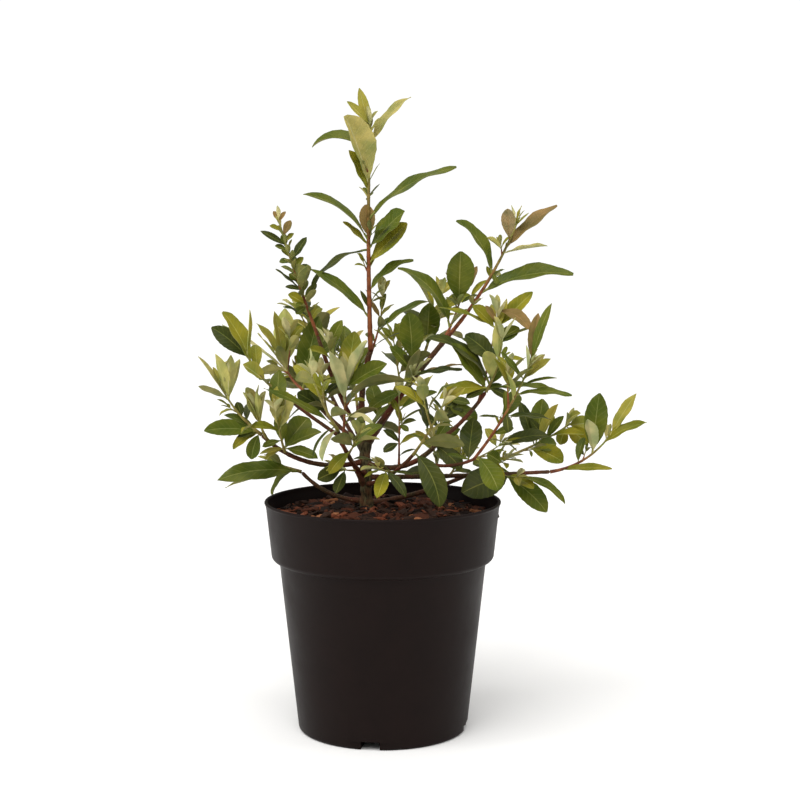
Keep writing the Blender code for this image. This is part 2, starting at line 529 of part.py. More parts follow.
def make_pot():
    pot = add_object("pot", spin_solid(pot_outline(), POT_SEGMENTS), "pot")
    covers = channels(WALL, CHANNEL_START - WALL, outer_radius(0) - 1.0)
    covers = add_object("channel_covers", covers, "pot")
    cuts = channels(0.0, CHANNEL_START, FOOT_RADIUS + 10)
    for k in range(4):
        place = Matrix.Rotation(math.radians(CHANNEL_TURN + 90 * k), 4, "Z")
        place = place @ Matrix.Translation(Vector((DRAIN_PLACE, 0, 0)) * MM)
        bmesh.ops.create_cone(cuts, cap_ends=True, segments=12, radius1=DRAIN_RADIUS * MM,
                              radius2=DRAIN_RADIUS * MM, depth=40 * MM, matrix=place)
    cuts = add_object("channel_cuts", cuts, "pot")
    boolean(pot, "UNION", covers)
    boolean(pot, "DIFFERENCE", cuts).use_self = True
    for tool in (covers, cuts):
        tool.hide_render = True
        tool.display_type = "WIRE"
    return pot


def make_soil():
    shoulder_top = COLLAR_BASE + COLLAR_SHOULDER
    wall = WALL + GAP
    slope = (COLLAR_TOP_RADIUS - COLLAR_RADIUS) / (POT_HEIGHT - shoulder_top)
    edge = COLLAR_RADIUS - wall + slope * (SOIL_EDGE - shoulder_top - wall)
    profile = [(0.0, FLOOR + GAP), (outer_radius(FLOOR) - wall, FLOOR + GAP),
               (BODY_TOP_RADIUS - wall - 0.1, shoulder_top - WALL),
               (COLLAR_RADIUS - wall - 0.2, shoulder_top + WALL), (edge - 0.3, SOIL_EDGE),
               (SOIL_FLAT_RADIUS, SOIL_TOP), (0.0, SOIL_TOP)]
    soil = add_object("soil", spin_solid(profile, 48), "soil")
    cuts = channels(WALL + GAP, CHANNEL_START - WALL - GAP, FOOT_RADIUS + 10)
    cuts = add_object("soil_cuts", cuts, "soil")
    cuts.hide_render = True
    cuts.display_type = "WIRE"
    boolean(soil, "DIFFERENCE", cuts)
    return soil


# Plant

def grow_trunk():
    path = Path(TRUNK_FOOT, 180, 0, 88, 0, TRUNK_LENGTH)
    trunk = Limb(path, TRUNK_THICK, TRUNK_THIN)

    def radius(share):
        plain = Limb.radius(trunk, share)
        flare = max(0.0, 1.0 - share * TRUNK_LENGTH / FLARE_REACH)
        return plain + (FLARE_THICK - TRUNK_THICK) / 2 * flare ** 2

    trunk.radius = radius
    return trunk


def grow_limbs():
    limbs = {"trunk": grow_trunk()}
    for name, b in BOUGHS.items():
        parent = limbs[b.parent]
        path = Path(parent.path.at(b.at), b.heading, b.swing, b.rise, b.upturn, b.length)
        limbs[name] = Limb(path, b.thick, b.thin, parent, b.at)
    return limbs


def outward(along, turn):
    """The way out of a stem at a turn: 0 is right and 90 away for an upright stem."""
    spin = Vector((0, 0, 1)).rotation_difference(along)
    return spin @ direction(turn, 0)


def rule_leaf(limb, share, turn, length, rng):
    """A leaf by rule: steeper, straighter and smaller towards the stem's tip."""
    along = limb.path.along(share)
    lift = math.radians(LOW_LIFT + (TIP_LIFT - LOW_LIFT) * share + rng.uniform(-8, 8))
    way = along * math.cos(lift) + outward(along, turn) * math.sin(lift)
    way.z += LIGHT_PULL * (1.0 - abs(way.z))
    heading, rise = bearing(way)
    arch = LOW_ARCH + (TIP_ARCH - LOW_ARCH) * share + rng.uniform(-6, 10)
    size = length * (0.72 + 0.28 * math.sin(math.pi * min(1.0, share * 1.1)) - 0.22 * share)
    return Leaf(limb.path.at(share), heading, rise, size * rng.uniform(0.85, 1.1), arch,
                rng.uniform(-LEAF_ROLL, LEAF_ROLL), LEAF_WIDTH)


# What a new leaf keeps clear of: whose it is, and its search trees without and with its stalk
Mark = namedtuple("Mark", "owner near whole")


class Growth:
    """One shoot as it grows: its stem, its side twigs and its leaves."""

    def __init__(self, name, shoot, limbs):
        self.name, self.shoot, self.rng = name, shoot, random.Random(name)
        parent = limbs[shoot.parent]
        self.path = Path(parent.path.at(shoot.at), shoot.heading, 0, shoot.rise, shoot.upturn,
                         shoot.length)
        self.stem = Limb(self.path, shoot.thick, shoot.thick * 0.45, parent, shoot.at)
        self.space = limb_tree(Limb(self.path, shoot.thick + CLEAR, shoot.thick * 0.45 + CLEAR,
                                    parent, shoot.at))
        self.twigs, self.leaves = [self.stem], []

    def is_free(self, near, whole, marks):
        """Whether a leaf touches no mark. Among its own shoot's leaves the stalk is left out."""
        return not any(near.touches(mark.near) if mark.owner is self else whole.touches(mark.whole)
                       for mark in marks)

    def try_leaf(self, leaf, turns, others, marks):
        """Keep a leaf that touches none of the others, if need be turned or shorter."""
        for turn, size in turns:
            trial = leaf._replace(heading=leaf.heading + turn, length=leaf.length * size)
            near, whole = blade_tree(trial, BARE_STALK), blade_tree(trial, SUNK_STALK)
            if self.is_free(near, whole, others):
                self.leaves.append(trial)
                marks.append(Mark(self, near, whole))
                return

    def grow_seen(self, marks):
        """The leaves placed by eye, clear of every other shoot."""
        others = [mark for mark in marks if mark.owner is not self]
        for share, *shape in self.shoot.seen:
            base = self.path.at(max(share, self.stem.first + STEM_ROOT))
            self.try_leaf(Leaf(base, *shape), SEEN_TURNS, others, marks)

    def grow_by_rule(self, marks):
        shoot, rng = self.shoot, self.rng
        first = max(BARE_SHARE, self.stem.first + 0.04)
        phase = rng.uniform(0, 360)
        for k in range(shoot.leaves):
            share = first + (0.985 - first) * (k + 0.3) / shoot.leaves
            leaf = rule_leaf(self.stem, share, phase + LEAF_TURN * k, shoot.longest, rng)
            self.try_leaf(leaf, TURNS, marks, marks)
        for k in range(shoot.twigs):
            share = 0.3 + 0.5 * (k + 0.5) / shoot.twigs
            twig = self.side_twig(share, phase + 180 + LEAF_TURN * 2 * k)
            space = limb_tree(Limb(twig.path, 2.6, 2.0), 4)
            if not self.is_free(space, space, marks):
                continue
            self.twigs.append(twig)
            marks.append(Mark(self, space, space))
            for i in range(SIDE_TWIG_LEAVES):
                place = 0.45 + 0.54 * i / (SIDE_TWIG_LEAVES - 1)
                turn = phase + LEAF_TURN * (i + 2 * k)
                leaf = rule_leaf(twig, place, turn, shoot.longest * 0.85, rng)
                self.try_leaf(leaf, TURNS, marks, marks)

    def side_twig(self, share, turn):
        along = self.path.along(share)
        way = along + outward(along, turn) * 1.1
        way.z += LIGHT_PULL
        heading, rise = bearing(way)
        length = self.rng.uniform(*SIDE_TWIG)
        return Limb(Path(self.path.at(share), heading, 0, rise, 20, length), 1.7, 1.0)


def make_mass(name, twigs, leaves):
    mass = add_object(name, limb_mesh(twigs[0], 5, 4), "leaf")
    if not leaves and len(twigs) == 1:
        return mass
    sprays = bpy.data.collections.new(name + "_sprays")
    bpy.context.scene.collection.children.link(sprays)
    for twig in twigs[1:]:
        add_object(name + "_twig", limb_mesh(twig, 3, 3), "leaf", sprays)
    for leaf in leaves:
        add_object(name + "_blade", leaf_mesh(leaf), "leaf", sprays)
    boolean(mass, "UNION", sprays)
    fused = bpy.data.meshes.new_from_object(mass.evaluated_get(bpy.context.evaluated_depsgraph_get()))
    mass.modifiers.clear()
    mass.data = fused
    for obj in list(sprays.objects):
        bpy.data.objects.remove(obj)
    bpy.data.collections.remove(sprays)
    return mass


def make_plant(pot, soil):
    limbs = grow_limbs()
    for name, limb in limbs.items():
        count = 12 if name == "trunk" else 7
        obj = add_object(name, limb_mesh(limb, count, 8 if name == "trunk" else 6), "bark")
        obj.data.shade_smooth()
    bpy.context.view_layer.update()
    solid = [object_tree(pot), object_tree(soil)]
    solid += [limb_tree(Limb(l.path, l.thick + CLEAR, l.thin + CLEAR)) for l in limbs.values()]
    settled = [Mark(None, tree, tree) for tree in solid]
    growths = [Growth(name, shoot, limbs) for name, shoot in SHOOTS.items()]
    for step in (Growth.grow_seen, Growth.grow_by_rule):
        for growth in growths:
            stems = [Mark(g, g.space, g.space) for g in growths if g is not growth]
            marks = settled + stems
            step(growth, marks)
            settled += marks[len(settled) + len(stems):]
    for growth in growths:
        make_mass(growth.name, growth.twigs, growth.leaves)


for old in list(bpy.data.objects):
    bpy.data.objects.remove(old, do_unlink=True)
the_pot = make_pot()
the_soil = make_soil()
make_plant(the_pot, the_soil)
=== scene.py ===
import json
import math
import random
from collections import namedtuple

import bmesh
import bpy
import numpy as np
from mathutils import Matrix, Vector, noise
from mathutils.bvhtree import BVHTree

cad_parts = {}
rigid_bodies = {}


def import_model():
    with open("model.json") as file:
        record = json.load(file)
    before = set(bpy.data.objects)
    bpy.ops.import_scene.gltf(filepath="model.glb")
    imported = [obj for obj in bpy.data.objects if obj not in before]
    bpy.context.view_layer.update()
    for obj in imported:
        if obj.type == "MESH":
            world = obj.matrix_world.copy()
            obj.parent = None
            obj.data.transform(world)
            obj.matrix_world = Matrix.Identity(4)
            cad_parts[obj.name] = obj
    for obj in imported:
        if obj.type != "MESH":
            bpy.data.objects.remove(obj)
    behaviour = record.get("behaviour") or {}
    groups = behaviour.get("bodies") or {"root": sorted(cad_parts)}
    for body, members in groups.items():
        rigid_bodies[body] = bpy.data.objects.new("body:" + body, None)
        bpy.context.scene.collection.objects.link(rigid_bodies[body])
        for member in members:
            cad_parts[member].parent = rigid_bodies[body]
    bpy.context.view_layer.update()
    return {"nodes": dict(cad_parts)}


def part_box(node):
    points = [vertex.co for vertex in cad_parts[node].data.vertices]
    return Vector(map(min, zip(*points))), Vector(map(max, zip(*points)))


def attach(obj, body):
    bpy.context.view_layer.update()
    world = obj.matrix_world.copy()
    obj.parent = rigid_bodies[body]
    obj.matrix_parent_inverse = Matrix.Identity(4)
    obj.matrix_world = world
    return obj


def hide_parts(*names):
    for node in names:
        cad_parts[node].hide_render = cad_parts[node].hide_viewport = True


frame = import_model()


# The studio: a plain pale floor under a soft overhead light, with a tall box at each side and a
# room that is bright above and dim at eye level. The camera is just above the pot's rim.
MM = 0.001
CAMERA_PLACE = (13.9, -1321.0, 405.0)
CAMERA_DIP = 5.96
LENS, SENSOR = 74.6, 36.0
FLOOR_HALF = 9.0
BACKDROP_LIGHT = 1.05
EYE_LEVEL_LIGHT, OVERHEAD_LIGHT = 0.22, 1.0
SUN_HEADING, SUN_RISE, SUN_ANGLE, SUN_STRENGTH = 250.0, 56.0, 50.0, 1.9
# Each box's place, the point it faces, its width and height in metres, and its watts
LIGHTS = {
    "left_box": ((-1.9, -0.5, 0.8), (0, 0, 0.3), (0.7, 1.6), 12.0),
    "right_box": ((2.0, -0.5, 0.8), (0, 0, 0.3), (0.6, 1.6), 7.0),
}


def srgb(code):
    """A hex colour as linear red, green, blue and alpha."""
    parts = [int(code[i:i + 2], 16) / 255 for i in (1, 3, 5)]
    return (*[p / 12.92 if p <= 0.04045 else ((p + 0.055) / 1.055) ** 2.4 for p in parts], 1.0)


def new_material(name, roughness, ior=1.5, specular=0.5):
    """A material, its Principled shader, and the place on the object for its patterns."""
    made = bpy.data.materials.new(name)
    made.use_nodes = True
    shader = made.node_tree.nodes["Principled BSDF"]
    shader.inputs["Roughness"].default_value = roughness
    shader.inputs["IOR"].default_value = ior
    shader.inputs["Specular IOR Level"].default_value = specular
    return made, shader, add_node(made, "TexCoord", {}, out="Object")


def add_node(mat, kind, inputs, out=0, **settings):
    """Add a node and return one of its outputs. An input is a value, or an output to link."""
    made = mat.node_tree.nodes.new("ShaderNode" + kind)
    for name, value in settings.items():
        setattr(made, name, value)
    for key, value in inputs.items():
        if isinstance(value, bpy.types.NodeSocket):
            mat.node_tree.links.new(value, made.inputs[key])
        else:
            made.inputs[key].default_value = value
    return made.outputs[out]


def feed(shader, socket, output):
    """Link an output to one of a shader's inputs."""
    shader.id_data.links.new(output, shader.inputs[socket])


def add_object(name, data):
    made = bpy.data.objects.new(name, data)
    bpy.context.scene.collection.objects.link(made)
    return made


def add_mesh(name, mesh, materials):
    """An object at the origin from a mesh that holds its place."""
    for mat in materials:
        mesh.materials.append(mat)
    return add_object(name, mesh)


def add_piece(name, bm, materials):
    """An object at the origin from a bmesh, which it frees."""
    mesh = bpy.data.meshes.new(name)
    bm.to_mesh(mesh)
    bm.free()
    return add_mesh(name, mesh, materials)


lens = bpy.data.cameras.new("camera")
lens.lens = LENS
lens.sensor_width = SENSOR
camera = add_object("camera", lens)
camera.location = Vector(CAMERA_PLACE) * MM
camera.rotation_euler = (math.radians(90.0 - CAMERA_DIP), 0.0, 0.0)
bpy.context.scene.camera = camera
bpy.context.scene.view_settings.view_transform = "Standard"

for name, (place, faces, size, watts) in LIGHTS.items():
    lamp = bpy.data.lights.new(name, "AREA")
    lamp.shape = "RECTANGLE"
    lamp.size, lamp.size_y = size
    lamp.energy = watts
    light = add_object(name, lamp)
    light.location = place
    light.rotation_euler = (Vector(faces) - Vector(place)).to_track_quat("-Z", "Y").to_euler()

sun = bpy.data.lights.new("overhead", "SUN")
sun.angle = math.radians(SUN_ANGLE)
sun.energy = SUN_STRENGTH
overhead = add_object("overhead", sun)
overhead.rotation_euler = (math.radians(90.0 - SUN_RISE), 0.0, math.radians(SUN_HEADING + 90.0))

room = bpy.data.worlds.new("room")
room.use_nodes = True
background = room.node_tree.nodes["Background"]
background.inputs["Color"].default_value = srgb("#ffffff")
way = add_node(room, "TexCoord", {}, out="Generated")
height = add_node(room, "SeparateXYZ", {"Vector": way}, out=2)
dome = add_node(room, "MapRange", {
    "Value": height, "To Min": EYE_LEVEL_LIGHT, "To Max": OVERHEAD_LIGHT})
seen = add_node(room, "LightPath", {}, out="Is Camera Ray")
feed(background, "Strength", add_node(room, "Mix", {0: seen, 2: dome, 3: BACKDROP_LIGHT}))
bpy.context.scene.world = room

paper, shader, _ = new_material("matt_paper", 0.9)
shader.inputs["Base Color"].default_value = srgb("#f6f5f3")
floor_mesh = bmesh.new()
bmesh.ops.create_grid(floor_mesh, x_segments=1, y_segments=1, size=FLOOR_HALF)
add_piece("floor", floor_mesh, [paper])


# The pot: one injection moulding of dark brown-black polypropylene, turned by spin from half its
# section. A wider collar carries a thin rolled lip; four channels under the foot let water out.
POT_WALL, POT_FLOOR = 1.8, 3.0
FOOT_RADIUS, FOOT_ROUND, FOOT_FLARE = 67.0, 3.0, 1.8
BODY_TOP_RADIUS = 83.5
COLLAR_BASE, SHOULDER = 138.0, 5.0
COLLAR_RADIUS, COLLAR_TOP_RADIUS = 89.8, 94.2
LIP_ROUND, LIP_DROP = 1.3, 6.0
CHANNEL_WIDTH, CHANNEL_HEIGHT = 15.0, 7.0
CHANNEL_START, CHANNEL_TURN = 30.0, 262.0
DRAIN_RADIUS, DRAIN_PLACE, DRAIN_DEPTH = 4.0, 48.0, 40.0
# The shallow pad beside each channel: its width, height and depth, and how far it overlaps
PAD_WIDTH, PAD_HEIGHT, PAD_DEPTH, PAD_OVERLAP = 8.5, 6.2, 0.55, 1.0
# How far cutting tools reach past what they cut
PAST_WALL, PAST_FOOT = 10.0, -5.0
POT_STEPS = 192

pot_low, pot_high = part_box("pot")
pot_height = pot_high.z / MM
lip_radius = (pot_high.x - pot_low.x) / 2 / MM


def arc(centre, radius, start, end, count):
    """Points of an arc in the half section, from one angle to another, as (radius, height)."""
    turns = [math.radians(start + (end - start) * k / count) for k in range(count + 1)]
    return [(centre[0] + radius[0] * math.cos(a), centre[1] + radius[1] * math.sin(a))
            for a in turns]


def wall_radius(z):
    """Outer radius of the pot's body below the collar."""
    foot = FOOT_RADIUS + FOOT_FLARE
    return foot + (BODY_TOP_RADIUS - foot) * (z - FOOT_ROUND) / (COLLAR_BASE - FOOT_ROUND)


def turned(section, steps):
    """A closed body of revolution from half a section that starts and ends on the axis."""
    bm = bmesh.new()
    verts = [bm.verts.new((r * MM, 0.0, z * MM)) for r, z in section]
    edges = [bm.edges.new(pair) for pair in zip(verts, verts[1:])]
    bmesh.ops.spin(bm, geom=verts + edges, cent=(0, 0, 0), axis=(0, 0, 1),
                   angle=2 * math.pi, steps=steps, use_merge=True)
    bmesh.ops.remove_doubles(bm, verts=bm.verts, dist=0.005 * MM)
    bmesh.ops.recalc_face_normals(bm, faces=bm.faces)
    return bm


def add_box(bm, low, high, turn):
    """A box between two corners, turned about the pot's axis."""
    size = Vector(high) - Vector(low)
    middle = (Vector(high) + Vector(low)) / 2
    place = Matrix.Rotation(math.radians(turn), 4, "Z") @ Matrix.Translation(middle * MM)
    bmesh.ops.create_cube(bm, size=1.0, matrix=place @ Matrix.Diagonal((*(size * MM), 1)))


def channel_boxes(extra, start, end):
    """The four foot channels, to cut, or grown by a wall's thickness for their covers."""
    bm = bmesh.new()
    half = CHANNEL_WIDTH / 2 + extra
    base = 0.5 if extra > 0 else PAST_FOOT
    for k in range(4):
        add_box(bm, (start, -half, base), (end, half, CHANNEL_HEIGHT + extra),
                CHANNEL_TURN + 90 * k)
    return bm


def apply_boolean(piece, operation, bm):
    """Cut or add a tool's shape for good, and drop the tool."""
    tool = add_piece("tool", bm, piece.data.materials)
    mod = piece.modifiers.new(operation, "BOOLEAN")
    mod.operation = operation
    mod.object = tool
    mod.use_self = True
    bpy.context.view_layer.update()
    shaped = piece.evaluated_get(bpy.context.evaluated_depsgraph_get())
    made = bpy.data.meshes.new_from_object(shaped)
    piece.modifiers.clear()
    piece.data = made
    bpy.data.objects.remove(tool)


# Injection-moulded polypropylene: satin, with a faint grain and soft waves from the mould.
# The grain is about 0.3 mm on the real pot and is drawn at 0.8 mm, so that it shows.
PLASTIC_GRAIN, PLASTIC_WAVE = 0.8, 26.0


def overlay(mat, under, over, pattern, start=0.0, end=1.0, least=0.0, most=1.0):
    """A colour: one tone over another, as far as a pattern has gone between two levels."""
    share = add_node(mat, "MapRange", {
        "Value": pattern, "From Min": start, "From Max": end, "To Min": least, "To Max": most})
    return add_node(mat, "Mix", {0: share, 6: under, 7: over}, out=2, data_type="RGBA")


plastic, shader, place = new_material("moulded_polypropylene", 0.46, 1.49, 0.08)
wave = add_node(plastic, "TexNoise", {
    "Vector": place, "Scale": 1 / (PLASTIC_WAVE * MM), "Detail": 3.0, "Roughness": 0.55})
grain = add_node(plastic, "TexNoise", {
    "Vector": place, "Scale": 1 / (PLASTIC_GRAIN * MM), "Detail": 1.0})
feed(shader, "Base Color", overlay(plastic, srgb("#120b09"), srgb("#1c1210"), wave))
feed(shader, "Roughness", add_node(plastic, "MapRange", {
    "Value": wave, "From Min": 0.3, "From Max": 0.7, "To Min": 0.42, "To Max": 0.52}))
waves = add_node(plastic, "Bump", {"Height": wave, "Distance": 0.5 * MM, "Strength": 0.5})
feed(shader, "Normal", add_node(plastic, "Bump", {
    "Height": grain, "Distance": 0.04 * MM, "Strength": 0.6, "Normal": waves}))

shoulder_top = COLLAR_BASE + SHOULDER
bead_middle = pot_height - LIP_ROUND
collar_out = COLLAR_RADIUS - BODY_TOP_RADIUS
pot_section = [(0.0, 0.0), (CHANNEL_START - 4, 0.0), (FOOT_RADIUS - 1.5, 0.0)]
pot_section += arc((FOOT_RADIUS - 1.2, FOOT_ROUND), (3.0, FOOT_ROUND), -70, 0, 5)
pot_section += [(wall_radius(60.0), 60.0), (BODY_TOP_RADIUS - 0.2, COLLAR_BASE - 1.5)]
pot_section += arc((BODY_TOP_RADIUS, shoulder_top), (collar_out, SHOULDER), -84, 0, 8)
pot_section += [(COLLAR_TOP_RADIUS - 0.4, pot_height - LIP_DROP)]
pot_section += arc((lip_radius - LIP_ROUND, bead_middle), (LIP_ROUND, LIP_ROUND), -60, 200, 12)
pot_section += [(COLLAR_TOP_RADIUS - POT_WALL - 0.6, pot_height - LIP_DROP),
                (COLLAR_RADIUS - POT_WALL, shoulder_top + POT_WALL),
                (BODY_TOP_RADIUS - POT_WALL, shoulder_top - POT_WALL),
                (wall_radius(POT_FLOOR) - POT_WALL, POT_FLOOR), (0.0, POT_FLOOR)]

pot = add_piece("pot_shell", turned(pot_section, POT_STEPS), [plastic])
apply_boolean(pot, "UNION", channel_boxes(POT_WALL, CHANNEL_START - POT_WALL, wall_radius(0) - 1))
apply_boolean(pot, "DIFFERENCE", channel_boxes(0.0, CHANNEL_START, FOOT_RADIUS + PAST_WALL))
cuts = bmesh.new()
for k in range(4):
    turn = CHANNEL_TURN + 90 * k
    drain = Matrix.Rotation(math.radians(turn), 4, "Z")
    drain = drain @ Matrix.Translation((DRAIN_PLACE * MM, 0, 0))
    bmesh.ops.create_cone(cuts, cap_ends=True, segments=24, radius1=DRAIN_RADIUS * MM,
                          radius2=DRAIN_RADIUS * MM, depth=DRAIN_DEPTH * MM, matrix=drain)
    for side in (-1, 1):
        near = side * (CHANNEL_WIDTH / 2 - PAD_OVERLAP)
        far = side * (CHANNEL_WIDTH / 2 + PAD_WIDTH)
        back = wall_radius(PAD_HEIGHT / 2) - PAD_DEPTH - 1.2
        add_box(cuts, (back, min(near, far), PAST_FOOT),
                (FOOT_RADIUS + PAST_WALL, max(near, far), PAD_HEIGHT), turn)
apply_boolean(pot, "DIFFERENCE", cuts)
pot.data.shade_smooth()
pot.data.set_sharp_from_angle(angle=math.radians(32))
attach(pot, "root")
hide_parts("pot")


# The mulch: pine bark chips and crumbs on the compost, dry on top and red-brown where they
# broke. The compost is the CAD soil; each chip is a bent flake, scattered flat and overlapping.
CHIPS, CRUMBS = 760, 900
CHIP_LENGTH, CRUMB_LENGTH = (5.0, 14.0), (1.5, 4.0)
CHIP_WIDTH, CHIP_THICK, CHIP_BEND = (0.35, 0.7), (0.12, 0.3), (0.0, 0.3)
CHIP_TILT, CHIP_PITCH = 20, 16
CHIP_PILE, CRUMB_PILE = 3.2, 4.48
CHIP_EDGE = 3.0
CHIP_SHAPES = 7
# A worn flake: its rounding, the noise on it and how finely that varies
FLAKE_RADIUS, FLAKE_ROUND, FLAKE_WEAR, WEAR_SCALE = 0.62, 0.45, 0.16, 2.6
CHIP_SEED, WEAR_SEED = 11, 5
MOUND_REACH, MOUND_HEIGHT = 34.0, 4.0
STEM_ROOM, CHIP_LIE = 5.2, 0.3
TRUNK_FOOT = (-13.0, 20.0, 175.35)
# The chips' colours and their shares
CHIP_TONES = {"#1c100a": 0.26, "#332016": 0.32, "#4d2a1b": 0.22, "#74402a": 0.14, "#93603f": 0.06}

_, soil_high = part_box("soil")
soil_top = soil_high.z / MM
soil_radius = soil_high.x / MM

compost, shader, place = new_material("compost", 0.95)
clods = add_node(compost, "TexNoise", {"Vector": place, "Scale": 350.0, "Detail": 6.0})
feed(shader, "Base Color", overlay(compost, srgb("#120a06"), srgb("#3a2417"), clods))
feed(shader, "Normal", add_node(compost, "Bump", {
    "Height": clods, "Distance": 2 * MM, "Strength": 0.8}))
soil = frame["nodes"]["soil"]
soil.data.materials.clear()
soil.data.materials.append(compost)


def tinted(code, *factors):
    """A hex colour as linear light, with its red, green and blue scaled."""
    return (*[part * factor for part, factor in zip(srgb(code), factors)], 1.0)


# Pine bark: matt, corky layers about 1 mm thick, seen as fine streaks in each chip's tone
chip_materials = []
for code in CHIP_TONES:
    cork, shader, place = new_material("pine_bark_" + code[1:], 0.86, specular=0.2)
    layers = add_node(cork, "TexNoise", {
        "Vector": place, "Scale": 900.0, "Detail": 4.0, "Distortion": 1.5})
    feed(shader, "Base Color", overlay(cork, tinted(code, 0.45, 0.42, 0.40),
                                       tinted(code, 1.5, 1.45, 1.4), layers))
    feed(shader, "Normal", add_node(cork, "Bump", {
        "Height": layers, "Distance": 0.5 * MM, "Strength": 0.7}))
    chip_materials.append(cork)


def mesh_arrays(bm):
    """A bmesh's points and its quads, for copying many times. It frees the bmesh."""
    bm.verts.index_update()
    points = np.array([v.co[:] for v in bm.verts])
    quads = np.array([[v.index for v in f.verts] for f in bm.faces])
    bm.free()
    return points, quads


def joined(name, copies, materials):
    """One object from copies of small bodies: (points in mm, quads, material indices)."""
    starts = np.cumsum([0] + [len(points) for points, _, _ in copies[:-1]])
    points = np.concatenate([points for points, _, _ in copies]) * MM
    quads = np.concatenate([quads + start for (_, quads, _), start in zip(copies, starts)])
    looks = np.concatenate([look for _, _, look in copies]).astype(np.int32)
    mesh = bpy.data.meshes.new(name)
    mesh.from_pydata(points.tolist(), [], quads.tolist())
    mesh.polygons.foreach_set("material_index", looks)
    mesh.update()
    return add_mesh(name, mesh, materials)


def flake(seed):
    """A rough flake in a unit box: a cube, cut across and worn by noise."""
    bm = bmesh.new()
    bmesh.ops.create_cube(bm, size=1.0)
    bmesh.ops.subdivide_edges(bm, edges=bm.edges[:], cuts=2, use_grid_fill=True)
    for v in bm.verts:
        v.co = v.co.lerp(v.co.normalized() * FLAKE_RADIUS, FLAKE_ROUND)
        spot = v.co * WEAR_SCALE + Vector((seed * 7.3, 0, 0))
        v.co += noise.noise_vector(spot) * FLAKE_WEAR
    return mesh_arrays(bm)


def scatter(count, lengths, pile, flakes, rng):
    """Flakes lying on the soil at random, bent along their length."""
    copies = []
    for k in range(count):
        length = rng.uniform(*lengths)
        reach = (soil_radius - CHIP_EDGE) * math.sqrt(rng.random())
        turn = rng.uniform(0, 2 * math.pi)
        x, y = reach * math.cos(turn), reach * math.sin(turn)
        if math.hypot(x - TRUNK_FOOT[0], y - TRUNK_FOOT[1]) < STEM_ROOM + length / 2:
            continue
        points, quads = flakes[k % len(flakes)]
        size = np.array([length, length * rng.uniform(*CHIP_WIDTH),
                         length * rng.uniform(*CHIP_THICK)])
        shaped = points * size
        shaped[:, 2] -= (shaped[:, 0] / length) ** 2 * length * rng.uniform(*CHIP_BEND)
        tilt = Matrix.Rotation(rng.uniform(0, 2 * math.pi), 3, "Z")
        tilt = tilt @ Matrix.Rotation(math.radians(rng.gauss(0, CHIP_TILT)), 3, "X")
        tilt = tilt @ Matrix.Rotation(math.radians(rng.gauss(0, CHIP_PITCH)), 3, "Y")
        outside = max(0.0, reach - MOUND_REACH) / (soil_radius - MOUND_REACH)
        ground = soil_top - MOUND_HEIGHT * outside
        height = ground + size[2] * CHIP_LIE + rng.uniform(0.0, pile)
        shaped = shaped @ np.array(tilt).T + np.array([x, y, height])
        look = rng.choices(range(len(CHIP_TONES)), CHIP_TONES.values())[0]
        copies.append((shaped, quads, np.full(len(quads), look)))
    return copies


noise.seed_set(WEAR_SEED)
flakes = [flake(seed) for seed in range(CHIP_SHAPES)]
chip_rng = random.Random(CHIP_SEED)
for name, count, lengths, pile in (("bark_chips", CHIPS, CHIP_LENGTH, CHIP_PILE),
                                   ("bark_crumbs", CRUMBS, CRUMB_LENGTH, CRUMB_PILE)):
    piece = joined(name, scatter(count, lengths, pile, flakes, chip_rng), chip_materials)
    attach(piece, "root")


# The trunk: a finger-thin old stem, grey-brown and knobbly where the boughs leave it, wider at
# its foot. It is a tube of rings along a centreline, with the bark's ridges in the mesh.
TRUNK_LENGTH, TRUNK_THICK, TRUNK_THIN = 57.0, 8.4, 6.6
FLARE_THICK, FLARE_REACH = 14.0, 9.0
KNOT_SIZE, KNOT_REACH, KNOT_BACK = 1.1, 3.4, 0.45
TRUNK_RINGS, TRUNK_SIDES = 130, 40
TRUNK_RELIEF, TRUNK_RIDGES = 0.5, (1.6, 7.0)
TRUNK_DOME, TRUNK_DOME_DEPTH = 2.4, 0.98
# Steps of a centreline, the gap between limbs, and what a growing leaf keeps clear of a stem
STEPS = 24
GAP = 0.35
CLEAR = 0.8
# The least angle a side limb is taken to leave its parent at, and the most at a parent's end
LEAST_LEAN, MOST_LEAN = 22, 65


def direction(heading, rise):
    h, r = math.radians(heading), math.radians(rise)
    return Vector((math.cos(r) * math.cos(h), math.cos(r) * math.sin(h), math.sin(r)))


def bearing(way):
    """Heading and rise of a direction, in degrees."""
    way = way.normalized()
    return math.degrees(math.atan2(way.y, way.x)), math.degrees(math.asin(way.z))


class Path:
    """A curved centreline from its root, turning by swing and upturn along its length."""

    def __init__(self, start, heading, swing, rise, upturn, length):
        self.length = length
        self.points = [Vector(start)]
        for i in range(STEPS):
            t = (i + 0.5) / STEPS
            step = direction(heading + swing * t, rise + upturn * t) * (length / STEPS)
            self.points.append(self.points[-1] + step)

    def at(self, share):
        k = min(max(share, 0.0), 1.0) * STEPS
        i = min(int(k), STEPS - 1)
        return self.points[i].lerp(self.points[i + 1], k - i)

    def along(self, share):
        i = min(int(min(max(share, 0.0), 1.0) * STEPS), STEPS - 1)
        return (self.points[i + 1] - self.points[i]).normalized()

    def smooth_along(self, share):
        ahead = self.at(share + 0.5 / STEPS) - self.at(share - 0.5 / STEPS)
        return ahead.normalized()


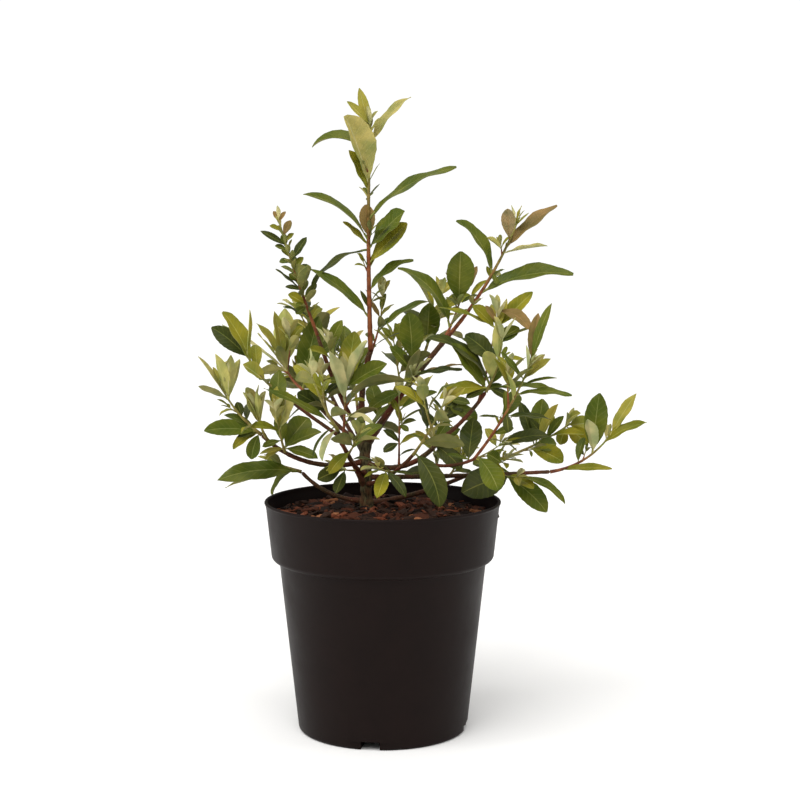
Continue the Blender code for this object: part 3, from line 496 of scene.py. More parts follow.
class Limb:
    """A tapering round limb. It starts clear of its parent by GAP."""

    def __init__(self, path, thick, thin, parent=None, at=0.0):
        self.path, self.thick, self.thin, self.first = path, thick, thin, 0.0
        self.parent, self.at = parent, at
        if parent is None:
            return
        lean = max(parent.path.along(at).angle(path.along(0.0)), math.radians(LEAST_LEAN))
        radius = thick / 2
        lower = max(at - radius / parent.path.length, 0.0)
        if at >= 1.0:
            lean = min(parent.path.along(at).angle(path.along(0.0)), math.radians(MOST_LEAN))
            start = (GAP + radius * math.sin(lean)) / math.cos(lean)
        else:
            start = (parent.radius(lower) + GAP + radius * abs(math.cos(lean))) / math.sin(lean)
        self.first = start / path.length

    def radius(self, share):
        return (self.thick + (self.thin - self.thick) * share) / 2

    def sections(self, count):
        for i in range(count):
            share = self.first + (1.0 - self.first) * i / (count - 1)
            yield self.path.at(share), self.path.along(share), self.radius(share)


class Trunk(Limb):
    """The trunk's radius widens to a flare at its foot."""

    def radius(self, share):
        flare = max(0.0, 1.0 - share * TRUNK_LENGTH / FLARE_REACH)
        return Limb.radius(self, share) + (FLARE_THICK - TRUNK_THICK) / 2 * flare ** 2


def across(along):
    side = Vector((0, 0, 1)).cross(along)
    if side.length < 0.05:
        side = Vector((0, 1, 0)).cross(along)
    return side.normalized()


def domed(near, depth):
    """A factor that rounds off a stem's end, from 1 down as near goes from 1 to 0."""
    return math.sqrt(1.0 - (1.0 - min(1.0, max(0.0, near))) ** 2 * depth)


def tube(bm, path, rings, sides, surface):
    """A closed tube about a path, rolled up from a grid. surface gives the radius at a place."""
    made = bmesh.ops.create_grid(bm, x_segments=sides, y_segments=rings, size=1.0)["verts"]
    youth = bm.verts.layers.float.get("youth")
    side = across(path.smooth_along(0.0))
    frames = []
    for k in range(rings + 1):
        share = k / rings
        along = path.smooth_along(share)
        side = (side - along * side.dot(along)).normalized()
        frames.append((path.at(share), side, along.cross(side), share))
    for v in made:
        turn = math.pi * (v.co.x + 1.0)
        middle, side, up, share = frames[round((v.co.y + 1.0) / 2 * rings)]
        radius = surface(share, turn)
        v.co = (middle + (side * math.cos(turn) + up * math.sin(turn)) * radius) * MM
        if youth:
            v[youth] = share
    bmesh.ops.remove_doubles(bm, verts=made, dist=0.002 * MM)
    bmesh.ops.holes_fill(bm, edges=[e for e in bm.edges if e.is_boundary], sides=0)


def ridges(turn, distance, seed, wide, long):
    """Bark relief from -1 to 1 at a turn and a distance along, in ridges wide by long."""
    spot = Vector((math.cos(turn) * 4 / wide, math.sin(turn) * 4 / wide, distance / long + seed))
    return noise.fractal(spot, 0.9, 2.1, 3, noise_basis="PERLIN_ORIGINAL")


# Old willow bark: dull grey-brown cork in ridges 1.5 mm wide, dark in the furrows between
old_bark, shader, place = new_material("old_willow_bark", 0.82, specular=0.15)
upright = add_node(old_bark, "Mapping", {"Vector": place, "Scale": (1.0, 1.0, 0.28)})
furrow = add_node(old_bark, "TexNoise", {
    "Vector": upright, "Scale": 620.0, "Detail": 5.0, "Roughness": 0.62})
patch = add_node(old_bark, "TexNoise", {"Vector": place, "Scale": 130.0, "Detail": 2.0})
cork = overlay(old_bark, srgb("#1f190e"), srgb("#5b5338"), furrow, 0.38, 0.62)
rusty = overlay(old_bark, cork, srgb("#6d4429"), patch, 0.5, 0.7, most=0.55)
feed(shader, "Base Color", rusty)
feed(shader, "Normal", add_node(old_bark, "Bump", {
    "Height": furrow, "Distance": 0.6 * MM, "Strength": 0.8}))

# Each bough: the limb it leaves, the share of that limb's length where it leaves, its heading
# and how far that swings, its rise and upturn, and its length and thickness at each end
Bough = namedtuple("Bough", "parent at heading swing rise upturn length thick thin")

BOUGHS = {
    "leader_bough": Bough("trunk", 1.0, 0, 0, 100, -28, 74, 5.2, 4.4),
    "right_bough": Bough("trunk", 0.93, -12, 0, 55, -5, 110, 5.2, 4.0),
    "low_right_bough": Bough("trunk", 0.66, -30, 0, -15, 67, 76, 4.8, 3.6),
    "mid_right_bough": Bough("low_right_bough", 1.0, -22, 0, 36, 20, 57, 3.4, 2.8),
    "outer_right_bough": Bough("low_right_bough", 0.68, -55, 15, -12, 36, 64, 2.8, 2.4),
    "far_right_bough": Bough("trunk", 0.46, 8, 0, -1, 3, 154, 4.2, 3.0),
    "back_right_bough": Bough("trunk", 0.08, 36, -20, 0, 26, 130, 4.4, 3.0),
    "low_left_bough": Bough("trunk", 0.12, 165, 0, -4, 50, 62, 4.0, 3.0),
    "mid_left_bough": Bough("trunk", 0.7, 200, 0, -14, 60, 95, 4.2, 3.2),
    "front_left_bough": Bough("trunk", 0.28, 225, -15, 58, 0, 57, 4.0, 3.2),
    "left_bough": Bough("front_left_bough", 1.0, 200, 0, 34, 6, 57, 3.0, 2.6),
    "upper_left_bough": Bough("trunk", 0.9, 158, 0, 31, 17, 68, 3.8, 2.8),
    "spire_bough": Bough("trunk", 0.97, 172, 0, 59, 14, 95, 4.0, 3.0),
    "front_right_bough": Bough("trunk", 0.36, -64, 10, 10, 28, 82, 3.6, 2.8),
    "front_bough": Bough("trunk", 0.52, 254, 0, 12, 38, 86, 3.6, 2.8),
    "back_left_bough": Bough("trunk", 0.78, 122, 0, 34, 12, 92, 3.8, 2.8),
    "back_bough": Bough("trunk", 0.58, 96, 0, 10, 34, 96, 3.8, 2.8),
    "back_high_bough": Bough("trunk", 0.86, 44, 0, 44, 6, 98, 4.0, 3.0),
}

limbs = {"trunk": Trunk(Path(TRUNK_FOOT, 180, 0, 88, 0, TRUNK_LENGTH), TRUNK_THICK, TRUNK_THIN)}
for name, b in BOUGHS.items():
    parent = limbs[b.parent]
    path = Path(parent.path.at(b.at), b.heading, b.swing, b.rise, b.upturn, b.length)
    limbs[name] = Limb(path, b.thick, b.thin, parent, b.at)

knots = [(b.at, math.radians(b.heading)) for b in BOUGHS.values() if b.parent == "trunk"]


def trunk_surface(share, turn):
    """Radius of the trunk: taper, flare, a knot under each bough, ridges and a domed top."""
    radius = limbs["trunk"].radius(share)
    for at, heading in knots:
        near = math.exp(-((share - at) * TRUNK_LENGTH / KNOT_REACH) ** 2)
        facing = max(0.0, math.cos(turn - heading))
        radius += KNOT_SIZE * near * (KNOT_BACK + (1 - KNOT_BACK) * facing)
    radius += TRUNK_RELIEF * ridges(turn, share * TRUNK_LENGTH, 3.0, *TRUNK_RIDGES)
    return radius * domed((1.0 - share) * TRUNK_LENGTH / TRUNK_DOME, TRUNK_DOME_DEPTH)


trunk_mesh = bmesh.new()
tube(trunk_mesh, limbs["trunk"].path, TRUNK_RINGS, TRUNK_SIDES, trunk_surface)
bmesh.ops.recalc_face_normals(trunk_mesh, faces=trunk_mesh.faces)
trunk = add_piece("trunk_bark", trunk_mesh, [old_bark])
trunk.data.shade_smooth()
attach(trunk, "root")
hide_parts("trunk")


# The boughs: bare second-year wood, brown and olive, redder where the light reaches it. Each
# is a tube that grows out of its parent from a collar, with a low ring at every old leaf scar.
SCAR_SPACING, SCAR_HEIGHT, SCAR_SHARPNESS = 9.5, 0.10, 24
COLLAR_SWELL, COLLAR_LENGTH, COLLAR_SUNK = 0.45, 3.6, 1.5
RING_SPACING, LEAST_RINGS = 1.4, 8
BOUGH_SIDES, BOUGH_RELIEF, BOUGH_BLEND = 18, 0.16, 7.0
LIMB_RIDGES, LIMB_DOME_DEPTH = (2.0, 6.0), 0.96

# Second-year willow bark: smooth and faintly waxy, speckled with pale pores under 1 mm long
bough_bark, shader, place = new_material("second_year_willow_bark", 0.58, specular=0.15)
wash = add_node(bough_bark, "TexNoise", {
    "Vector": place, "Scale": 55.0, "Detail": 3.0, "Roughness": 0.6})
pores = add_node(bough_bark, "TexNoise", {"Vector": place, "Scale": 780.0, "Detail": 2.0})
wood = overlay(bough_bark, srgb("#41331f"), srgb("#5e2f20"), wash, 0.38, 0.62)
speckled = overlay(bough_bark, wood, srgb("#8c7046"), pores, 0.60, 0.68, most=0.55)
feed(shader, "Base Color", speckled)
feed(shader, "Normal", add_node(bough_bark, "Bump", {
    "Height": pores, "Distance": 0.2 * MM, "Strength": 0.6}))


def grow_tube(bm, limb, sides, relief, seed, joint):
    """Mesh a limb from inside its parent, with its collar, scars and ridges."""
    length = limb.path.length
    rings = max(LEAST_RINGS, int(length / RING_SPACING))
    start_radius = limb.parent.radius(limb.at)
    root = limb.first * length if limb.at < 1.0 else 0.0

    def surface(share, turn):
        distance = share * length
        radius = limb.radius(share)
        if limb.at >= 1.0:
            blend = max(0.0, 1.0 - distance / joint)
            radius += (start_radius - radius) * blend * blend * (3 - 2 * blend)
        else:
            past = max(0.0, distance - root + COLLAR_SUNK)
            radius += limb.thick / 2 * COLLAR_SWELL * math.exp(-past / COLLAR_LENGTH)
        scar = math.cos(math.pi * distance / SCAR_SPACING) ** SCAR_SHARPNESS
        radius *= 1.0 + SCAR_HEIGHT * scar
        radius += relief * ridges(turn, distance, seed, *LIMB_RIDGES)
        return radius * domed((1.0 - share) * length / (limb.thin / 2), LIMB_DOME_DEPTH)

    tube(bm, limb.path, rings, sides, surface)


bough_mesh = bmesh.new()
for k, name in enumerate(BOUGHS):
    grow_tube(bough_mesh, limbs[name], BOUGH_SIDES, BOUGH_RELIEF, 5.0 + 3.1 * k, BOUGH_BLEND)
bmesh.ops.recalc_face_normals(bough_mesh, faces=bough_mesh.faces)
boughs = add_piece("bough_bark", bough_mesh, [bough_bark])
boughs.data.shade_smooth()
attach(boughs, "root")
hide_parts(*BOUGHS)


# The shoots: this year's leafy ends, grown by the rule of the CAD masses and carried to finer
# twigs. A seen leaf is (place on the stem, heading, rise, length, arch, roll, width, tone).
Shoot = namedtuple("Shoot", "parent at heading rise upturn length thick leaves longest twigs seen",
                   defaults=((),))

SHOOTS = {
    "leader": Shoot("leader_bough", 1.0, 0, 92, -4, 185, 4.2, 0, 34, 0, (
        (0.95, 150, 74, 36, 0, -45, 0.26, "young"), (0.98, 200, 42, 26, 0, -60, 0.34, "young"),
        (0.72, 195, 76, 58, 12, -72, 0.58, "flush"), (0.69, 200, 66, 37, 4, -60, 0.4, "fresh"),
        (0.86, 165, 46, 54, 78, -30, 0.3, "full"), (0.88, 15, 66, 54, 30, 40, 0.2, "flush"),
        (0.73, 20, 60, 18, 0, -20, 0.28, "fresh"), (0.67, 340, 46, 14, 0, 0, 0.34, "old"),
        (0.48, 197, 60, 68, 50, -25, 0.26, "full"), (0.46, 190, 46, 28, 5, -40, 0.3, "fresh"),
        (0.49, 150, 86, 27, 0, -60, 0.5, "bronze"), (0.57, 3, 52, 84, 44, 25, 0.2, "full"),
        (0.44, 335, 52, 44, 15, 50, 0.56, "full"), (0.38, 350, 48, 45, 5, 45, 0.5, "fresh"),
        (0.26, 8, 56, 45, 40, 30, 0.26, "full"), (0.44, 172, -4, 62, 62, -30, 0.16, "old"),
        (0.14, 182, 54, 63, 28, -35, 0.22, "full"), (0.36, 200, 60, 11, 0, 0, 0.4, "old"),
        (0.35, 20, 60, 23, 0, 20, 0.34, "young"), (0.18, 170, 64, 17, 0, -40, 0.3, "old"))),
    "leader_twin": Shoot("leader_bough", 0.9, 35, 60, 30, 56, 2.0, 4, 22, 0, (
        (0.43, 352, 46, 50, 28, 25, 0.26, "full"), (0.16, 5, 40, 29, 32, 0, 0.12, "old"),
        (0.71, 20, 76, 16, 0, 20, 0.5, "full"), (0.62, 160, 56, 18, 0, -20, 0.36, "bronze"),
        (0.51, 10, 40, 11, 0, 30, 0.4, "full"))),
    "right_crown": Shoot("right_bough", 1.0, 0, 49, 20, 112, 3.6, 0, 42, 0, (
        (0.57, 178, 80, 53, 46, -30, 0.36, "full"), (0.41, 356, 32, 77, 40, 35, 0.26, "full"),
        (0.78, 8, 48, 54, 18, 35, 0.24, "bronze"), (0.74, 338, 12, 37, 5, 10, 0.24, "flush"),
        (0.84, 262, 36, 46, 8, 0, 0.26, "bronze"), (0.94, 20, 72, 18, 0, 0, 0.3, "young"),
        (0.95, 340, 42, 15, 0, 30, 0.3, "young"), (0.53, 165, -32, 21, 25, -40, 0.4, "fresh"),
        (0.73, 150, 108, 10, 0, 0, 0.4, "bronze"), (0.40, 190, -10, 16, 30, -30, 0.3, "old"),
        (0.58, 300, -54, 11, 0, 0, 0.5, "full"))),
    "right_upright": Shoot("right_bough", 0.95, 30, 56, 20, 54, 2.4, 2, 34, 0, (
        (0.28, 180, 80, 67, 60, -35, 0.28, "full"), (0.66, 92, 104, 44, 0, 0, 0.56, "full"),
        (0.64, 150, 66, 29, 0, 0, 0.2, "bronze"), (0.77, 40, 56, 30, 0, 20, 0.3, "bronze"))),
    "right_inner": Shoot("right_bough", 0.62, 100, 58, 15, 30, 2.0, 2, 36, 0, (
        (0.47, 185, 90, 41, 8, -80, 0.52, "full"), (0.04, 185, 56, 29, 12, -60, 0.42, "full"))),
    "right_under": Shoot("right_bough", 0.5, -75, 18, 20, 34, 1.8, 2, 38, 0, (
        (0.66, 190, 16, 50, 48, 40, 0.3, "full"), (0.04, 195, -16, 35, 20, -50, 0.34, "full"),
        (1.00, 352, 16, 39, 15, 30, 0.2, "old"), (1.00, 5, 18, 40, 10, 10, 0.1, "bronze"))),
    "mid_right": Shoot("mid_right_bough", 1.0, -20, 59, 30, 46, 2.4, 1, 38, 0, (
        (0.14, 186, 70, 65, 64, -30, 0.27, "old"), (0.04, 195, 56, 47, 6, -60, 0.34, "full"),
        (0.07, 192, 12, 41, 42, -60, 0.3, "fresh"), (0.56, 272, 108, 33, 0, 0, 0.28, "young"),
        (0.53, 175, 50, 34, 15, -60, 0.5, "old"), (0.12, 20, 56, 23, 0, 60, 0.5, "full"),
        (0.23, 260, 38, 40, 0, 0, 0.35, "young"), (0.27, 272, 64, 20, 0, 0, 0.4, "young"),
        (0.05, 352, 10, 48, 14, 35, 0.17, "full"), (0.08, 330, -12, 23, 20, 40, 0.34, "old"),
        (0.08, 200, -16, 20, 10, -40, 0.4, "old"))),
    "mid_right_high": Shoot("mid_right_bough", 0.84, 25, 74, 6, 72, 2.2, 4, 36, 0, (
        (0.82, 186, 30, 47, 18, -20, 0.18, "fresh"), (0.81, 170, 50, 25, 10, -60, 0.5, "fresh"),
        (0.76, 30, 66, 29, 0, 60, 0.28, "young"), (0.81, 15, 42, 42, 0, 50, 0.34, "fresh"),
        (1.00, 335, 2, 32, 60, 50, 0.36, "bronze"), (0.64, 8, 30, 25, 0, 60, 0.5, "full"),
        (0.88, 200, 60, 16, 10, -60, 0.4, "bronze"), (0.64, 5, 26, 46, 12, 5, 0.17, "full"),
        (0.04, 10, 18, 17, 0, 40, 0.4, "full"))),
    "mid_right_inner": Shoot("low_right_bough", 0.88, 60, 46, 18, 46, 2.4, 3, 40, 0, (
        (0.63, 190, 52, 24, 25, 0, 0.1, "fresh"), (0.43, 190, 48, 23, 15, -60, 0.36, "old"),
        (0.06, 185, 30, 21, 15, -20, 0.26, "full"), (0.04, 345, 40, 25, 20, 50, 0.46, "full"),
        (0.18, 15, 56, 20, 5, 60, 0.4, "full"), (0.76, 190, 48, 17, 0, -30, 0.3, "old"),
        (0.70, 30, 46, 19, 0, 30, 0.5, "old"), (0.87, 335, -10, 29, 25, 40, 0.5, "full"),
        (0.04, 330, -28, 30, 20, 50, 0.5, "old"), (0.60, 0, 32, 19, 10, 50, 0.42, "old"),
        (1.00, 340, -4, 19, 10, 40, 0.45, "full"))),
    "inner_upright": Shoot("low_right_bough", 0.42, 70, 88, 4, 62, 1.8, 2, 22, 0, (
        (0.73, 352, 44, 35, 34, 30, 0.34, "full"), (0.31, 180, 60, 17, 40, -50, 0.4, "old"),
        (0.14, 0, 42, 15, 40, 30, 0.2, "old"), (0.55, 330, -18, 10, 20, 50, 0.5, "full"),
        (0.56, 5, 48, 26, 35, 20, 0.14, "full"), (0.31, 200, -16, 15, 20, -50, 0.5, "old"))),
    "outer_right": Shoot("outer_right_bough", 1.0, -28, 50, 17, 92, 2.6, 4, 40, 1, (
        (0.99, 5, 76, 47, 8, 40, 0.2, "full"), (0.99, 60, 74, 38, 0, 20, 0.3, "bronze"),
        (0.83, 345, 38, 26, 0, 60, 0.36, "young"), (0.84, 10, 48, 24, 0, 50, 0.42, "flush"),
        (0.83, 185, 50, 27, 0, -50, 0.24, "full"), (0.76, 0, 24, 29, 22, 20, 0.2, "full"),
        (0.68, 352, 18, 43, 38, 30, 0.2, "full"), (0.04, 335, -40, 32, 30, 60, 0.56, "full"),
        (0.50, 95, 74, 18, 0, 0, 0.25, "full"), (0.47, 350, 8, 36, 22, 25, 0.2, "old"),
        (0.45, 188, 12, 19, 14, -25, 0.2, "old"), (0.50, 300, -66, 15, 20, 40, 0.5, "old"),
        (0.28, 350, 18, 17, 0, 40, 0.5, "full"))),
    "outer_right_low": Shoot("outer_right_bough", 0.7, 5, 12, 25, 40, 1.8, 1, 32, 0, (
        (0.98, 352, 24, 38, 25, 45, 0.36, "old"), (0.88, 200, 56, 18, 0, -75, 0.55, "young"),
        (0.92, 350, 16, 23, 12, 40, 0.36, "fresh"), (0.64, 300, -8, 20, 10, 60, 0.6, "full"),
        (0.25, 80, 48, 41, 0, 0, 0.46, "old"), (0.31, 190, 20, 21, 10, -30, 0.28, "full"))),
    "far_right": Shoot("far_right_bough", 1.0, 5, 7, 48, 60, 2.8, 1, 30, 0, (
        (0.64, 40, 82, 51, 0, 40, 0.4, "full"), (1.00, 8, 60, 41, 5, 45, 0.28, "young"),
        (0.79, 355, 46, 44, 36, 40, 0.26, "fresh"), (0.67, 230, 72, 30, 0, 0, 0.5, "flush"),
        (0.14, 355, 8, 43, 12, 45, 0.2, "fresh"))),
    "far_right_low": Shoot("far_right_bough", 0.72, -55, -4, 10, 24, 1.8, 1, 34, 0, (
        (1.00, 350, 0, 46, 55, 40, 0.2, "full"), (0.33, 335, -24, 46, 28, 55, 0.42, "full"),
        (0.65, 222, 2, 55, 20, -60, 0.46, "old"))),
    "far_right_inner": Shoot("far_right_bough", 0.45, 60, 30, 10, 26, 1.8, 6, 34, 0),
    "back_right": Shoot("back_right_bough", 1.0, 12, 16, 18, 70, 2.6, 2, 38, 0, (
        (0.48, 60, 70, 40, 0, 20, 0.45, "full"), (0.51, 350, 64, 38, 0, 60, 0.36, "young"),
        (0.46, 180, 72, 39, 0, -60, 0.34, "old"), (0.62, 0, 58, 25, 8, 60, 0.34, "full"),
        (0.90, 215, 100, 13, 0, -30, 0.8, "fresh"), (0.90, 325, 42, 20, 0, 30, 0.72, "young"),
        (0.95, 350, 6, 19, 0, 60, 0.8, "young"), (0.92, 325, -32, 25, 0, 60, 0.7, "fresh"),
        (0.91, 205, -70, 16, 0, -60, 0.7, "fresh"), (0.38, 345, -8, 32, 25, 60, 0.56, "fresh"),
        (0.44, 350, 10, 20, 10, 60, 0.72, "full"), (0.41, 340, 22, 10, 0, 0, 0.5, "fresh"),
        (0.62, 190, 50, 22, 0, -50, 0.45, "old"))),
    "back_right_low": Shoot("back_right_bough", 0.86, -50, 14, 12, 34, 1.8, 5, 36, 0),
    "back_right_inner": Shoot("back_right_bough", 0.55, 100, 38, 20, 50, 2.0, 5, 38, 0),
    "low_left": Shoot("low_left_bough", 1.0, 180, 20, -4, 24, 2.4, 2, 34, 0, (
        (0.04, 192, 10, 69, 28, -55, 0.27, "full"), (0.04, 186, 0, 63, 22, 30, 0.13, "fresh"))),
    "left_tip": Shoot("mid_left_bough", 1.0, 185, 37, 30, 55, 2.6, 2, 38, 0, (
        (0.07, 190, 14, 43, 22, -60, 0.37, "full"), (0.10, 175, 40, 29, 28, -30, 0.3, "full"),
        (0.70, 180, 56, 42, 0, -20, 0.22, "flush"), (0.71, 245, 66, 41, 0, 0, 0.32, "young"),
        (0.70, 285, 70, 39, 0, 0, 0.26, "fresh"), (0.71, 320, 68, 35, 0, -20, 0.3, "young"),
        (0.04, 190, -6, 25, 50, -50, 0.38, "fresh"), (0.04, 215, -56, 22, 30, -60, 0.55, "full"),
        (0.70, 275, 70, 33, 0, 0, 0.28, "flush"), (0.38, 150, 68, 13, 0, -40, 0.6, "old"),
        (0.07, 200, -4, 17, 15, -40, 0.4, "old"))),
    "left_inner": Shoot("mid_left_bough", 0.74, 256, 46, 25, 44, 2.0, 3, 38, 0, (
        (0.55, 345, 78, 32, 4, 60, 0.85, "flush"), (0.58, 205, 78, 28, 0, -60, 0.42, "young"),
        (0.57, 330, 60, 33, 0, -40, 0.2, "young"), (0.91, 95, 70, 36, 0, 0, 0.4, "full"),
        (0.07, 5, 36, 33, 25, 40, 0.42, "full"), (0.10, 40, 48, 34, 12, 40, 0.6, "full"),
        (0.04, 350, -4, 29, 20, 50, 0.36, "full"), (0.04, 190, 0, 21, 15, -40, 0.24, "young"),
        (0.04, 200, -18, 18, 20, -40, 0.3, "young"), (0.33, 190, -12, 16, 10, -40, 0.45, "full"))),
    "left_front": Shoot("mid_left_bough", 0.93, 232, 52, 25, 34, 2.0, 2, 36, 0, (
        (0.46, 195, 70, 32, 0, -65, 0.46, "flush"), (0.48, 265, 64, 30, 0, 0, 0.22, "young"),
        (0.45, 200, 62, 30, 0, -40, 0.36, "young"), (0.48, 330, 78, 27, 0, 55, 0.5, "flush"))),
    "left_crown": Shoot("left_bough", 1.0, 190, 32, 41, 50, 2.6, 3, 34, 1, (
        (0.67, 180, 70, 47, 15, -35, 0.38, "fresh"), (0.76, 172, 48, 39, 15, -70, 0.4, "old"),
        (0.83, 100, 128, 46, 0, 60, 0.16, "young"), (0.29, 200, 38, 24, 0, -50, 0.65, "young"))),
    "front_upright": Shoot("front_left_bough", 0.8, 292, 78, 8, 62, 2.6, 2, 34, 0, (
        (0.58, 250, 56, 53, 0, -10, 0.27, "flush"), (0.74, 80, 50, 61, 5, 0, 0.32, "fresh"),
        (0.77, 320, 62, 45, 5, -20, 0.3, "flush"), (0.77, 350, 38, 39, 15, 60, 0.44, "full"),
        (0.39, 320, 6, 32, 30, -60, 0.3, "flush"))),
    "front_low": Shoot("front_left_bough", 0.35, 232, 5, 10, 24, 1.6, 1, 30, 0, (
        (0.04, 330, -16, 27, 20, 60, 0.5, "old"), (0.78, 215, -10, 24, 8, -60, 0.5, "old"),
        (0.62, 250, -40, 24, 5, 0, 0.45, "old"))),
    "upper_left": Shoot("upper_left_bough", 1.0, 150, 22, 72, 48, 2.6, 3, 36, 1, (
        (0.53, 186, 40, 66, 8, 0, 0.13, "flush"), (0.63, 272, 128, 57, 0, 0, 0.42, "young"),
        (0.08, 15, 82, 62, 10, 70, 0.34, "full"), (0.72, 185, 82, 42, 5, -60, 0.26, "young"),
        (0.62, 183, 62, 43, 8, -50, 0.24, "young"), (0.57, 182, 52, 38, 0, 10, 0.12, "young"),
        (0.53, 200, 10, 26, 30, 60, 0.45, "fresh"))),
    "upper_left_inner": Shoot("upper_left_bough", 0.6, 262, 42, 25, 46, 2.0, 4, 36, 0, (
        (0.12, 190, 38, 29, 10, -70, 0.55, "old"), (0.91, 200, 42, 16, 0, -30, 0.5, "flush"),
        (0.91, 140, 58, 15, 0, 0, 0.5, "young"), (0.83, 350, 14, 15, 15, 45, 0.5, "full"),
        (0.31, 200, 40, 17, 0, -50, 0.5, "old"), (0.55, 10, 44, 14, 10, 50, 0.5, "old"))),
    "spire": Shoot("spire_bough", 1.0, 175, 69, 5, 100, 2.8, 30, 17, 1, (
        (0.77, 180, 32, 24, 5, -40, 0.34, "old"), (0.64, 0, 56, 23, 0, 50, 0.4, "old"),
        (0.40, 182, 40, 26, 0, -20, 0.22, "old"), (0.39, 300, 48, 27, 0, 30, 0.55, "fresh"),
        (0.40, 250, 80, 21, 0, 0, 0.7, "fresh"), (0.15, 185, 34, 25, 20, -20, 0.22, "old"),
        (0.27, 200, 30, 17, 0, -60, 0.6, "fresh"), (0.20, 10, 44, 12, 0, 10, 0.25, "young"),
        (0.85, 10, 64, 14, 0, 50, 0.55, "bronze"), (0.46, 190, 42, 10, 0, -50, 0.75, "full"),
        (0.56, 10, 56, 13, 0, 40, 0.65, "fresh"), (0.89, 185, 24, 11, 0, -40, 0.6, "fresh"),
        (0.73, 185, 24, 11, 10, -40, 0.62, "full"), (0.63, 190, 6, 10, 10, -40, 0.7, "full"),
        (0.32, 5, 46, 16, 0, 40, 0.45, "full"), (0.25, 200, -22, 11, 20, -40, 0.7, "full"),
        (0.97, 160, 60, 10, 0, -40, 0.5, "bronze"), (0.97, 20, 56, 10, 0, 40, 0.5, "bronze"),
        (0.80, 10, 46, 10, 0, 40, 0.6, "fresh"), (0.77, 150, 70, 10, 0, -50, 0.6, "full"),
        (0.54, 0, 26, 13, 0, 50, 0.6, "full"))),
    "spire_side": Shoot("spire_bough", 0.5, 245, 55, 28, 44, 1.9, 7, 32, 0, (
        (0.82, 5, 80, 27, 25, 70, 0.4, "full"),)),
    "front_right": Shoot("front_right_bough", 1.0, -50, 44, 14, 58, 2.4, 4, 42, 1, (
        (0.04, 325, -36, 48, 45, 60, 0.42, "old"),)),
    "front_right_low": Shoot("front_right_bough", 0.62, -112, 8, 10, 34, 1.8, 3, 38, 0, (
        (0.16, 345, 10, 20, 25, 20, 0.26, "old"), (0.54, 325, -30, 27, 30, 50, 0.3, "old"))),
    "front_left": Shoot("front_bough", 1.0, 238, 44, 18, 62, 2.4, 3, 42, 1, (
        (0.07, 190, 40, 64, 22, -50, 0.11, "full"), (0.04, 215, -46, 28, 30, 60, 0.36, "flush"),
        (0.08, 200, -22, 31, 60, -10, 0.14, "old"))),
    "front_left_low": Shoot("front_bough", 0.62, 292, 30, 14, 34, 1.8, 4, 36, 0, (
        (0.04, 215, -26, 25, 25, -60, 0.42, "fresh"),)),
    "back_left": Shoot("back_left_bough", 1.0, 118, 52, 14, 66, 2.6, 14, 42, 3),
    "back_left_side": Shoot("back_left_bough", 0.66, 165, 24, 18, 44, 2.0, 9, 38, 1),
    "back": Shoot("back_bough", 1.0, 100, 42, 20, 58, 2.6, 13, 42, 2),
    "back_side": Shoot("back_bough", 0.6, 35, 34, 14, 48, 2.0, 6, 40, 0),
    "back_high": Shoot("back_high_bough", 1.0, 55, 58, 10, 62, 2.6, 10, 42, 2, (
        (0.18, 92, 128, 46, 0, 0, 0.46, "full"),)),
    "back_high_side": Shoot("back_high_bough", 0.62, 105, 50, 14, 54, 2.0, 6, 38, 1),
}

# The rule that every shoot grows by, as in the CAD: its leaves' turns, sizes, lifts and arches
LEAF_TURN = 137.5
LONG_LEAF = 38.0
LEAF_ROLL = 60.0
LEAF_WIDTH = 0.36
LEAF_THICK, LEAF_LEAST_THICK = 0.022, 0.7
LEAF_FOLD = 0.16
LOW_LIFT, TIP_LIFT, LIFT_SPREAD = 66.0, 24.0, (-8, 8)
LOW_ARCH, TIP_ARCH, ARCH_SPREAD = 36.0, 12.0, (-6, 10)
# A leaf's size for the longest: at a stem's ends, the swell between and the drop to the tip
END_SIZE, SIZE_SWELL, SWELL_PACE, SIZE_DROP, SIZE_SPREAD = 0.72, 0.28, 1.1, 0.22, (0.85, 1.1)
LIGHT_PULL = 0.30
BARE_SHARE, LEAST_BARE, LAST_LEAF, LEAF_PLACE = 0.16, 0.04, 0.985, 0.3
STEM_TAPER = 0.45
# Side twigs: their length, upturn and thickness, their span of the stem and their leaves' span
SIDE_TWIG, TWIG_UPTURN, TWIG_THICK, TWIG_ROOM = (20.0, 32.0), 20, (1.7, 1.0), (2.6, 2.0)
TWIG_START, TWIG_SPAN, TWIG_LEAN = 0.3, 0.5, 1.1
TWIG_LEAVES, TWIG_LEAF_START, TWIG_LEAF_SPAN, TWIG_LEAF_SIZE = 5, 0.45, 0.54, 0.85
# Room that a new leaf needs, how much of its stalk is left out, and how it may turn and shrink
LEAF_CLEAR = 0.5
BARE_STALK, SUNK_STALK = 0.4, 0.1
STEM_ROOT, ROOT_SUNK = 0.03, 0.8
TURNS = ((0, 1), (24, 1), (-24, 1), (45, 0.85), (-45, 0.85))
SEEN_TURNS = ((0, 1), (9, 1), (-9, 1), (18, 1), (-18, 1), (27, 0.95), (-27, 0.95), (0, 0.8))
